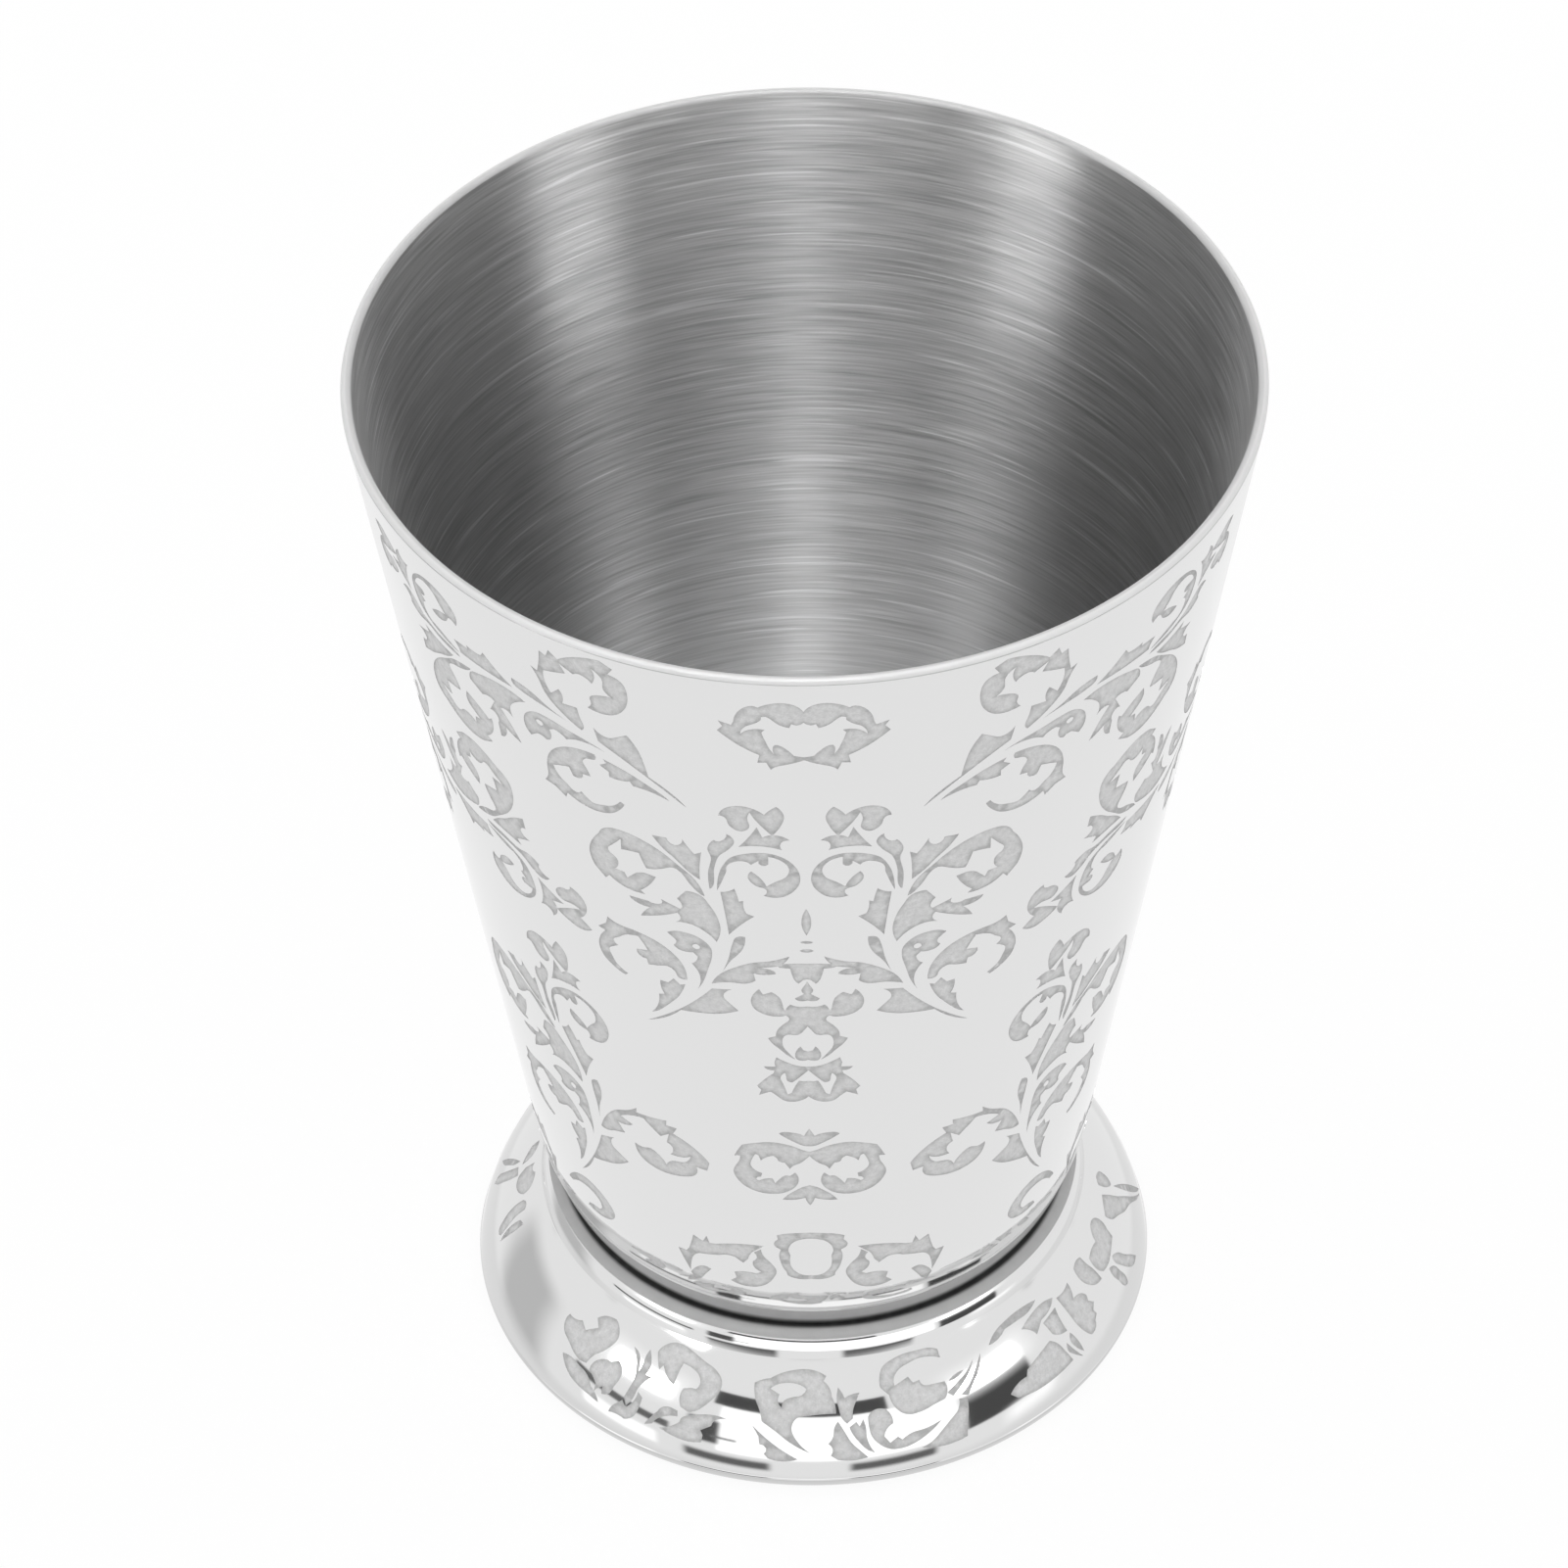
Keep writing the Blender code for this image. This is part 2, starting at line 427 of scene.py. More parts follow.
brushed, tree, shader, place = new_finish("brushed_steel")
fine = stretched_noise(tree, place, FINE_SCRATCHES, (CROSSING, 0, 0))
coarse = stretched_noise(tree, place, COARSE_SCRATCHES, (0, -CROSSING, 0))
deep = stretched_noise(tree, place, DEEP_SCRATCHES, (-CROSSING, CROSSING, 0), detail=0.0)
lines = fine * FINE_SHARE + coarse * COARSE_SHARE
height = Wire.node(tree, "ShaderNodeSeparateXYZ", sockets={0: place}, out="Z")
# Painted light: the grey is brighter deep in the cup and fades to the plain brushed grey higher up.
above_painted_light = height.rising(DEEP_HEIGHT * MM, PAINTED_LIGHT_TOP * MM)
grey = DEEP_PAINTED_LIGHT_GREY + above_painted_light * (BRUSHED_GREY - DEEP_PAINTED_LIGHT_GREY)
# The peaks of the third layer brighten the grey: painted glints.
grey = grey + (lines - 0.5) * SCRATCH_CONTRAST + deep.rising(*DEEP_PEAKS) * PAINTED_GLINT_CONTRAST
paint_grey(tree, shader, grey)
roughness = BRUSHED_ROUGHNESS + (lines - 0.5) * SCRATCH_ROUGHNESS
tree.links.new(roughness.socket, shader.inputs["Roughness"])
scratching = {"Strength": 1.0, "Distance": SCRATCH_DEPTH * MM, "Height": lines}
scratched = Wire.node(tree, "ShaderNodeBump", sockets=scratching)
tree.links.new(scratched.socket, shader.inputs["Normal"])
shader.inputs["Anisotropic"].default_value = BRUSHED_ANISOTROPY
shader.inputs["Anisotropic Rotation"].default_value = UP_THE_INSIDE
print("finish:", brushed.name)

# %% [markdown]
# ## The dull crease, with painted shade
#
# A buffing wheel doesn't reach into the sharp crease between the cup and its foot. The top of the foot's bead
# stays dull there. Towards the crease its grey is painted down to near black, as painted shade of the narrow
# gap between cup and foot, which makes the thin dark line round the joint. The finish gets darker with a
# smaller distance from the axis.

# %% Make the finish of the crease
CREASE_RADIUS = 25.5
DULL_RADIUS = 26.0
CREASE_SHADE_GREY = 0.05
DULL_GREY = 0.42
DULL_METAL = 0.08
DULL_ROUGHNESS = 0.45
DULL_MOTTLE_SCALE = 900.0
DULL_MOTTLE_CONTRAST = 0.05
DULL_MOTTLE_ROUGHNESS = 0.08

crease, tree, shader, place = new_finish("dull_steel_with_painted_shade")
take_shine(shader, DULL_METAL)
dull_mottle = even_noise(tree, place, DULL_MOTTLE_SCALE, detail=3.0)
# Painted shade: the grey falls to near black towards the crease.
out_of_crease_shade = axis_distance(tree, place).rising(CREASE_RADIUS * MM, DULL_RADIUS * MM)
grey = CREASE_SHADE_GREY + out_of_crease_shade * (DULL_GREY - CREASE_SHADE_GREY)
paint_grey(tree, shader, grey + (dull_mottle - 0.5) * DULL_MOTTLE_CONTRAST)
roughness = DULL_ROUGHNESS + dull_mottle * DULL_MOTTLE_ROUGHNESS
tree.links.new(roughness.socket, shader.inputs["Roughness"])
print("finish:", crease.name)

# %% [markdown]
# ## The spun floor
#
# The flat floor inside the cup is left as the lathe's tool made it: matt, with fine rings round the middle. The
# photograph doesn't show it. One noise that depends only on the distance from the axis draws the rings.

# %% Make the finish of the cup's floor
SPUN_GREY = 0.6
SPUN_METAL = 0.1
SPUN_ROUGHNESS = 0.5
RING_SCALE = 2500.0
RING_CONTRAST = 0.3

spun, tree, shader, place = new_finish("spun_steel")
take_shine(shader, SPUN_METAL)
shader.inputs["Roughness"].default_value = SPUN_ROUGHNESS
spacing = {"W": axis_distance(tree, place), "Scale": RING_SCALE, "Detail": 3.0}
rings = Wire.node(tree, "ShaderNodeTexNoise", {"noise_dimensions": "1D"}, spacing)
paint_grey(tree, shader, SPUN_GREY + (rings - 0.5) * RING_CONTRAST)
print("finish:", spun.name)

# %% [markdown]
# ## Drawing a leaf
#
# Each etched leaf is an outline, written as a line of text: points in millimetres, with a slash after a point
# where the edge turns sharply, at a leaf's tip or in the notch between two lobes. Between two slashes the edge
# is one smooth curve. A curve object could hold the same points, but the wall has to be cut along the outline
# later, so the curve is stepped into short straight pieces here.

# %% Step an outline into points
CURVE_STEP = 0.42


def stroke(points):
    """A smooth curve through a few points, as short steps. It leaves out the last point."""
    spans = [b - a for a, b in zip(points, points[1:])]
    headings = [(a.normalized() + b.normalized()).normalized() for a, b in zip(spans, spans[1:])]
    if not headings:
        count = straight_steps(spans[0])
        return [points[0] + spans[0] * (k / count) for k in range(count)]
    first = mirrored_heading(headings[0], spans[0])
    last = mirrored_heading(headings[-1], spans[-1])
    headings = [first] + headings + [last]
    stepped = []
    for i, span in enumerate(spans):
        count = straight_steps(span)
        for k in range(count):
            t = k / count
            lean_out = headings[i] * span.length * (t - 2 * t ** 2 + t ** 3)
            lean_in = headings[i + 1] * span.length * (t ** 3 - t ** 2)
            stepped.append(points[i] + span * (3 * t ** 2 - 2 * t ** 3) + lean_out + lean_in)
    return stepped


def straight_steps(span):
    """How many straight steps a stretch of curve is cut into."""
    return max(1, math.ceil(span.length / CURVE_STEP))


def mirrored_heading(heading, span):
    """The heading at the other end of an arc over this span."""
    along = span.normalized()
    return 2 * heading.dot(along) * along - heading


def outline(text):
    """A closed outline from its text, starting at its first sharp point."""
    points = []
    sharp = []
    for word in text.split():
        across, up = word.rstrip("/").split(",")
        points.append(Vector((float(across), float(up))))
        sharp.append(word.endswith("/"))
    corners = [i for i, is_sharp in enumerate(sharp) if is_sharp]
    closed = points + points[: corners[0] + 1]
    stops = corners + [corners[0] + len(points)]
    stepped = []
    for start, stop in zip(stops, stops[1:]):
        stepped += stroke(closed[start: stop + 1])
    return stepped


print("outline of a plain leaf:", len(outline("0,0/ 1,2 0,4/ -1,2")), "points")

# %% [markdown]
# ## The spray
#
# One spray of acanthus makes up most of the ornament: a stem that rises from a pointed tip, with leaves and
# curled scrolls on both sides of it. The stem itself stays polished and shows as the bright gap between the
# leaves. The outlines were read off the photograph, in millimetres from the spray's tip.

# %% Outline the leaves of the spray
SPRAY = {
    "base_leaf": "0,0/ 2.1,2.1 4,4.3 5.4,6.2 6.5,7.9/ 8.4,8.3/ 7.6,7.2 7.9,6.4/ 9,5.1/ 7.1,4.1 5.1,3.6"
    " 3.4,3.3/ 1.4,1",
    "side_leaf": "0.4,1.5/ 1.1,3.2 1.2,4.8/ 1.8,5.1/ 1.5,5.8 1.4,7.1/ 2.2,7.1/ 2.75,8/ 3.4,7.3/ 3.9,7.6/"
    " 3.2,5.4 2.2,3.7 1,2",
    "low_scroll": "4.1,8.4/ 3.9,10.1 3.2,11.5 2.1,12.6 0.7,13.3 -1,13.6 -2.9,13.6 -3.9,14/ -4.1,12.9/ -5,11.8/"
    " -4.2,11.6/ -4.9,10.1 -5,8.7 -4.5,7.3 -3.2,6.2 -2.25,5.8/ -2,6.2/ -3.2,7.1 -3.6,7.9 -3.9,9 -3.5,9.55"
    " -2.9,10.1/ -3.4,10.7 -2.7,11.6 -2.1,12.3 -0.7,12.9/ -0.2,12.1 0.25,11.2/ -0.9,10.8/ -0.7,10 0.1,9.8/"
    " 0.25,9/ 1.2,9.3 2.2,9.7 2.9,9.3 3.3,8.4",
    "small_curl": "5.1,7.3/ 5.75,8.9 6.2,10.9 6.6,12.9 6.5,14.3 5.4,15.5 4,15.8 3,15.6 2.3,15.1/ 2.9,14.55/"
    " 3.2,14.1 2.9,13.4/ 3.4,12.9 4.8,13/ 5.25,12.5/ 5,11.6 4.6,11.2/ 5.4,9.55",
    "double_leaf": "7.1,15.4/ 6.2,16.5 4.8,17.3 3.2,17.1/ 3.7,17.9 3.4,18.6/ 1.8,17.5 -0.3,16.4/ 0.1,17.3"
    " 0.7,18.2/ -1,18.4 -1.4,18.9/ 0.5,19.1/ 1.9,19.4 1.8,20/ 3.7,19.3/ 3.9,19.6 3.4,20.8/ 4.3,22.3/ 5.7,22.1"
    " 6.5,20.9 7.2,19.3 7.5,17.3",
    "right_leaf": "8.3,16.8/ 9.3,18.4 10,19.3 10.7,20.1/ 10,20.4/ 9.8,20.9 9.7,22.3/ 9.3,22.1/ 9.1,23.2 8.9,24/"
    " 8.2,23.4 7.6,23.2/ 7.9,20.7 8.2,17.9",
    "blade": "7.6,10.9/ 8.2,13.2 8.6,15.5 9,16.6 9.8,16.8/ 9.7,15.4 9.3,14.3 8.45,12.9",
    "big_scroll": "6.1,22.1/ 5.1,24.5 3.7,25.9 2.1,27.3 0.4,28.2 -1.5,28.6 -3.4,28.2 -4.3,26.8/ -5.3,24.5"
    " -5.4,23.2 -4.9,21.5/ -3.8,20.25/ -3.4,20.9/ -1.8,20 0.25,20/ -0.2,20.4/ 0.8,21.8 1.4,23.2/ 0.4,23.3/"
    " -0.4,23 -1,22.3 -1.5,21.6/ -1.8,22.3/ -2.8,22.3/ -2.4,23.7 -3.2,24.5/ -3.4,25.1 -2.9,25.9 -2.5,26.5"
    " -2,27.3/ -2,25.7/ -1.3,25.9 -0.2,26.1/ 0.1,25.1 0.5,24.1/ 1.2,24.3 2.1,24.8 3.2,25.4 4,24.8"
    " 4.6,23.7 5.7,22.3",
    "high_leaf": "5.7,24.5/ 4.6,25.4 3.4,26.8 2.3,27.9 1.2,29.5/ 2.6,29.7/ 3.4,28.9 4.1,30.1/ 4.7,29 5.25,28.2/"
    " 5.9,28.7/ 5.7,26.5",
    "tall_leaf": "6.6,23.4/ 6.5,25.9 6.8,28.2 6.5,29.5 7.1,30.9/ 7.6,30.8 8.3,32.1/ 9,31.2 8.45,29.8 7.6,28.7"
    " 7.1,26.8 6.8,23.6",
    "high_curl": "7.3,23.4/ 7.5,25.9 7.9,27.3 8.7,28.7 10.1,29.5 12.1,29.8 13.4,29.3 14.6,27.9 15,25.9"
    " 14.4,24.3 13.2,23.3 11.6,23.4/ 11.9,24.3 10.9,24.8 10.2,25.9 10.5,26.9/ 11.4,25.9 11.9,24.8/ 12.6,25.5"
    " 13.7,26.4 14,27.6 13.4,28.7 12.1,29.3/ 12.1,28.2/ 11.5,27.9 11.2,28.6/ 10.5,27.9/ 10,28.3 8.7,27.9"
    " 8.2,27.1/ 8.2,26.5/ 7.75,24.8",
    "top_leaf": "9.4,30.4/ 11.5,30.8 13.4,30.4/ 13.3,31.5 14.1,31.9/ 13.2,32.5 12.2,32.5 11.6,32.1/ 11.1,33.6/"
    " 10.4,32.1",
    "palmette": "12.5,32.5/ 11.6,33.7 10.9,34.8 10.5,35.7/ 10.25,34.8 10.4,33.4 9.6,32.75 8.6,33.4 8.2,34.55"
    " 7.6,34.7/ 8.2,35.9 9.6,36.5 10.9,36.2 11.8,35.5/ 12.3,36.2 12.9,36.8/ 13.6,35.5 13.3,34",
}
BRIDGE = "6.5,8.7/ 7.3,10.4 8.7,11.8 10.4,12.9 12.1,13.4 13.9,14.3/ 13.2,13 12.6,12.6/ 10.9,12.2/" \
    " 12.4,11.9 12.6,11.5/ 11.5,11.2 10.5,11.3/ 10.7,10.2/ 9.8,9.55 8.2,9.4"
BRANCH = "7.2,9.5/ 9,11.8 10.6,13.05 12.5,13.7 13.8,14.4/ 13.5,13.7/ 15.4,13.4 16.9,13.3/ 16.6,12.6/" \
    " 17.7,12.3/ 16.9,11.4/ 18.1,10.1 19,8.4 19.3,7.2/ 18.6,6/ 17.6,6.5/ 17.1,5.3 15.1,4.75 12.6,5.3" \
    " 11.3,6.6 11.3,8.7/ 12.1,8.3 13.1,8.4 14,7.1 14.1,6.25/ 15,7 16.6,7.1 17.6,8.1/ 16.7,7.8 15.3,8.1/" \
    " 16,9.3 15.6,9.9/ 16.4,11.3/ 15.2,10.7/ 14.5,12.1 14.1,13/ 12.7,13 11,12.4/ 12.2,11.55/ 11.4,11.2" \
    " 10.2,11.3/ 10.5,9.8/ 9.2,9.6 7.8,9.25"
SPRAY_EYE = "4.7,13.9/ 5.1,14.4 5.5,14.1/ 5.2,13.6"

spray_leaves = [outline(text) for text in SPRAY.values()]
spray_bridge = outline(BRIDGE)
spray_branch = outline(BRANCH)
spray_eye = outline(SPRAY_EYE)
print(len(spray_leaves), "leaves,", sum(len(leaf) for leaf in spray_leaves), "points in the spray")

# %% [markdown]
# ## The shapes on the middle line
#
# Between the sprays, shapes that are the same left and right stand on the middle line: a wreath near the rim, a
# spindle, a bud in a ring, a crown, a double scroll, and a ring near the foot. Only the left half of each is
# drawn, because the wall is mirrored later.

# %% Outline the middle shapes
MIDDLE = [
    "0,93.1/ -0.5,93.8 -1.2,94.2 -2.2,94.3 -3.3,94 -4.1,93.5/ -4.6,93.7 -5.5,93.2 -6.1,92.2 -6.3,91.2/"
    " -6.5,90.7/ -7.7,91.1/ -7.3,90.4/ -7.8,89.7/ -7,88.9 -6,88 -5,87.3 -4,86.7/ -4.2,85.6/ -3.4,85.7/"
    " -3,84.7/ -2.6,85.1 -1.6,85.5 -0.8,85.8 0,86.2/ 0,86.6/ -0.9,86.8/ -1.4,87.5 -2,88.1 -2.6,88.3 -2.8,87.7"
    " -2.65,86.9/ -3.1,87.7 -3.4,88.6 -3.6,89.2/ -3.8,90/ -3.5,90.4/ -4.5,90.4 -5.3,90 -5.7,89.5/ -5.6,90.1"
    " -5.2,90.7 -4.4,91.2 -3.8,91.8/ -3.8,92.2/ -3.4,92.3 -2.9,91.9 -2.2,91.2 -1.3,90.8/ -1.1,91.4/"
    " -0.6,91.2 0,91.6/",
    "0,64.1/ -0.45,62 0,60.1/",
    "0,59.2/ -0.4,59.15 -0.6,59/ -0.4,58.85 0,58.8/",
    "0,57.95/ -0.4,57.9 -0.65,57.7/ -0.4,57.5 0,57.45/",
    "0,55.7/ -1.2,55.7 -2.9,55.4/ -2.6,55/ -1.55,54.9/ -1.4,54 -1.15,53.1 -0.8,52.6/ -0.35,53.2/ 0,53.3/",
    "0,53/ -0.25,52.3 -0.55,51.6 -0.3,51/ -0.6,50.75 -1.15,50.3/ -0.9,49.95 0,50/",
    "-4.5,51.4/ -4.15,50.6/ -3.35,51.1/ -2.6,50.3 -2.35,49.4 -2.2,48.5 -1.9,48.1/ -2,47.6 -3,47.3 -4.2,47.6"
    " -5,48.3 -5.3,49.4 -5.1,50.4",
    "0,49.05/ -0.9,49 -1.6,49.3/ -2,48.6 -2.1,47.6/ -1.7,47 -2.3,46.1 -2.85,45.2 -3,44.2/ -3.75,43.8/ -3.35,43"
    " -2.7,42.2 -1.9,41.2 -1.2,40.6/ -1.7,41.4 -2.3,42.5 -2.4,43.6 -2.1,44.4 -1.6,44.55/ -0.8,44.6"
    " -0.4,45.2 0,45.9/",
    "0,40.6/ -0.9,40.5 -1.2,41 -1.15,41.8 -0.7,42.7/ -0.45,42.1/ 0,41.9/",
    "0,39.5/ -1,39.6 -2,40.1 -3,40.8/ -3.2,40/ -3.1,39.3/ -4.2,39.2/ -3.9,38.8 -3.2,38.7/ -3.3,38.2/ -4.1,37.2"
    " -4.9,35.9/ -4.5,35.4/ -4.7,34.5/ -4.1,34.9 -3.6,35.2/ -3,34.6 -2.3,33.9 -1.3,33.8 -0.6,34.1 0,34.7/",
    "0,26.5/ -0.6,26.6 -1.2,27 -2,27.6 -2.9,28.4/ -2.6,28.7 -1.6,28.7 -0.9,28.5/ -0.5,28.2/ -0.35,28.6 0,29.4/",
    "0,25.6/ -0.7,25.9 -1.5,26.4 -2.6,26.8 -3.8,26.9 -5.2,26.5 -6.5,25.9/ -6.9,25 -7.3,23.9/ -6.7,24/ -6.8,23.2"
    " -7.2,22.2 -7.4,21.2 -7,20 -6.2,19 -5,18.4 -3.8,18.3 -2.6,18.6 -1.7,19.3 -1.15,20.3 -1.1,21.3 -1.4,22.1/"
    " -1.9,21.5/ -2.4,21.5 -2.9,20.9 -3.35,20.1/ -3.6,20.9/ -4.4,20.7 -4.9,20.3/ -5.2,20.6 -4.7,21/ -4.6,21.6/"
    " -5.3,22 -5.7,22.7 -5.6,23.6 -5.2,24.7/ -4.9,24.5/ -4.7,23.7/ -4.3,24.2 -3.5,24.7/ -3.1,24.3/ -2.9,23.8"
    " -2.4,23.7/ -1.9,22.7/ -1.5,23.3 -0.9,23.7 -0.4,24.3 0,24.9/",
    "0,20/ -0.7,19.7 -1.4,19.1 -2,18.5 -2.65,17.5/ -1.9,17.5 -1,17.7/ -0.45,17.9/ -0.3,17.3 0,16.7/",
]
CROWN_GAP = "0,38.9/ -0.5,38.2 -1.1,37.4 -1.5,36.9/ -2,37.1 -2.1,37.8 -2.2,38.4/ -2.65,37.6 -2.4,36.6" \
    " -2.2,35.8 -2,34.9/ -1.6,35.2/ -1.3,36.2 -0.9,37.2/ -0.5,37.1 0,37.2/"
FOOT_RING = [
    "0,12/ -1.2,11.9 -2.4,11.7 -3.3,11.3/ -3.2,10.6/ -3.6,9.9 -3.4,9.3/ -2.9,8.9/ -3.1,8 -3,7 -2.7,5.8"
    " -2.4,5.2/ -2.3,4.6/ -1.7,4.2 -0.8,4 0,4.1/ 0,4.7/ -0.9,4.8 -1.5,5.3 -1.9,6 -2.05,7 -2,8/ -2.2,8.8/"
    " -2,9.8 -1.6,10.4 -1,10.8 0,11/",
    "-4.6,9.2/ -6.2,9.1 -7.8,8.7 -9.4,8/ -10.1,7.8/ -10.4,8.9/ -10.8,7.8/ -11.8,8.4/ -12,7.2 -12.3,5.8/"
    " -12.6,5.2/ -13.5,5.2/ -12.9,3.6 -12.2,2/ -12.1,3.6 -11.8,4.8 -11.2,5.5/ -10.2,5.8 -9.1,6.2/ -8.2,6.6"
    " -7.5,6.5/ -6.7,5.8/ -6.2,6.6/ -6,7.4 -5.7,8/",
    "-4.9,8.6/ -4.6,7.4 -3.9,6.4 -3.4,5.2 -3.7,3.9 -4.4,2.7 -5.4,2 -6.6,1.8 -8,2.3/ -7.4,3/ -7.6,3.9/ -6.6,4.3"
    " -5.4,4.3/ -4.9,4.7/ -5.6,5.4 -5.7,6.4/ -5.3,7.2 -5.6,7.9/",
    "-12.2,1.6/ -11.6,2.8 -10.8,3.5 -10,3.3/ -10.6,2.2 -11.2,1 -11.7,0.6/",
]
SIDE_RING = "-28.3,3.4/ -27.6,4.8 -26.6,6 -25.3,6.8 -24,6.9 -22.7,6.4 -21.6,5.3 -21.2,4.2 -21.6,3.1" \
    " -22.6,2.3 -23.9,1.9 -25.2,1.9/ -25,2.5/ -24.2,2.9 -23.4,3.1/ -23,3.8 -23.3,4.8 -24.2,5.3 -25.2,5.3" \
    " -26.2,4.9 -27,4.2 -27.6,3.4/"

middle_shapes = [outline(text) for text in MIDDLE]
crown_gap = outline(CROWN_GAP)
ring_shapes = [outline(text) for text in FOOT_RING]
print(len(middle_shapes) + len(ring_shapes), "shapes on the middle line")

# %% [markdown]
# ## Laying the drawing on the wall
#
# The wall is a cone, and a cone unrolls into a flat fan without stretching. The drawing is made on that fan: u
# runs across, v up the wall from the knuckle, where the wall turns in to its foot. Rolling the fan up again
# puts every point on the cup. Below the knuckle's bend the same distances are simply followed round the curve.

# %% Roll the fan up
KNUCKLE = (27.6, 20.4)
RIM = (43.0, 116.6)
KNUCKLE_CURVE = 26.0
KNUCKLE_BEND = 2.89
TAPER = math.atan2(RIM[0] - KNUCKLE[0], RIM[1] - KNUCKLE[1])
FAN_RADIUS = KNUCKLE[0] / math.sin(TAPER)
UP_THE_WALL = Vector((math.sin(TAPER), math.cos(TAPER)))
OUT_OF_THE_WALL = Vector((math.cos(TAPER), -math.sin(TAPER)))
BEND_START = Vector(KNUCKLE) + UP_THE_WALL * KNUCKLE_BEND
BEND_CENTRE = BEND_START - OUT_OF_THE_WALL * KNUCKLE_CURVE


def wall_point(up):
    """Radius and height at a distance up the wall from the knuckle."""
    if up >= KNUCKLE_BEND:
        return Vector(KNUCKLE) + UP_THE_WALL * up
    bent = (up - KNUCKLE_BEND) / KNUCKLE_CURVE
    out = OUT_OF_THE_WALL * math.cos(bent) + UP_THE_WALL * math.sin(bent)
    return BEND_CENTRE + out * KNUCKLE_CURVE


def fan(round_angle, up):
    """Flat place of a point that is that far round from the front, and up the wall."""
    flat_angle = round_angle * math.sin(TAPER)
    return Vector((math.sin(flat_angle), math.cos(flat_angle))) * (FAN_RADIUS + up) - Vector((0, FAN_RADIUS))


def round_the_axis(round_angle, section):
    """Place in metres of a point of the section that is that far round from the front."""
    across = Vector((math.sin(round_angle), -math.cos(round_angle), 0))
    return (across * section.x + Vector((0, 0, section.y))) * MM


def rolled(u, v):
    """Place on the cup of a flat point."""
    up = math.hypot(u, FAN_RADIUS + v) - FAN_RADIUS
    round_angle = math.atan2(u, FAN_RADIUS + v) / math.sin(TAPER)
    return round_the_axis(round_angle, wall_point(up))


print("taper", round(math.degrees(TAPER), 2), "degrees; fan radius", round(FAN_RADIUS, 1), "mm")

# %% [markdown]
# ## Composing the ornament
#
# A quarter of the cup holds four copies of the spray, turned and moved, beside half of the middle shapes. An
# open ring near the foot fills the space between them, and the middle ring with its scroll comes again at the
# side.

# %% Put the sprays in place
# Each copy: turn in degrees, where its tip is, its size across and along, and its side shape.
SPRAY_COPIES = {
    "centre": (0, (-15.5, 42.5), (1, 1), spray_bridge),
    "low": (20, (-25.5, 8.2), (1, 1), spray_branch),
    "high": (91, (-10.9, 77.5), (0.94, 1.045), spray_branch),
    "side": (-87, (-57.4, 64.0), (1, 0.965), spray_branch),
}
RING_REPEAT = math.radians(90)


def moved(points, turn, to, size=(1, 1)):
    """Points that are stretched, then turned, then moved."""
    matrix = Matrix.Rotation(turn, 2) @ Matrix.Diagonal(size)
    return [matrix @ point + Vector(to) for point in points]


def round_the_cup(points, angle):
    """Points that are moved round the cup, which turns them about the fan's far corner."""
    apex = Vector((0, -FAN_RADIUS))
    matrix = Matrix.Rotation(angle * math.sin(TAPER), 2)
    return [matrix @ (point - apex) + apex for point in points]


wall_leaves = middle_shapes + ring_shapes + [outline(SIDE_RING)]
wall_gaps = [crown_gap]
for degrees, tip, size, side_shape in SPRAY_COPIES.values():
    turn = math.radians(degrees)
    wall_leaves += [moved(leaf, turn, tip, size) for leaf in spray_leaves + [side_shape]]
    wall_gaps.append(moved(spray_eye, turn, tip, size))
wall_leaves += [round_the_cup(moved(shape, 0, (0, 0), (-1, 1)), RING_REPEAT) for shape in ring_shapes]
print(len(wall_leaves), "outlines on a quarter of the wall,", sum(len(leaf) for leaf in wall_leaves), "points")

# %% [markdown]
# ## Cutting a sheet along a drawing
#
# The knife tool could cut outlines into a wall by hand, but not thousands of short steps, so the flat sheet is
# made as triangles that keep every outline as an edge. Extra points fill the plain steel evenly, and a finer
# set fills the leaves, a little inside their outlines, so that the value named edge can fade inwards.

# %% Cut a flat sheet
LEAF_FILL = 0.8
ROW_SHARE = 0.87
LEAF_MARGIN = 0.28
PLAIN_MARGIN = 0.6
SNAP = 0.002


def inside(grid, loop):
    """Which of the grid's points lie inside a closed outline."""
    hit = np.zeros(len(grid), bool)
    for a, b in zip(loop, loop[1:] + loop[:1]):
        crosses = (a.y > grid[:, 1]) != (b.y > grid[:, 1])
        if a.y != b.y:
            reach = a.x + (grid[:, 1] - a.y) * (b.x - a.x) / (b.y - a.y)
            hit ^= crosses & (grid[:, 0] < reach)
    return hit


def leaf_fill(leaves, near_outline):
    """Points in staggered rows inside the leaves, clear of their outlines."""
    points = []
    for leaf in leaves:
        xs = [point.x for point in leaf]
        ys = [point.y for point in leaf]
        rows = np.arange(min(ys), max(ys), LEAF_FILL * ROW_SHARE)
        columns = np.arange(min(xs), max(xs), LEAF_FILL)
        grid = np.array([(x + (k % 2) * LEAF_FILL / 2, y) for k, y in enumerate(rows) for x in columns])
        if not len(grid):
            continue
        for x, y in grid[inside(grid, leaf)]:
            if near_outline.find((x, y, 0))[2] > LEAF_MARGIN:
                points.append(Vector((x, y)))
    return points


def outline_tree(loops):
    """A search tree that finds the outline's point nearest to a place."""
    points = [point for loop in loops for point in loop]
    near = kdtree.KDTree(len(points))
    for i, point in enumerate(points):
        near.insert((point.x, point.y, 0), i)
    near.balance()
    return near


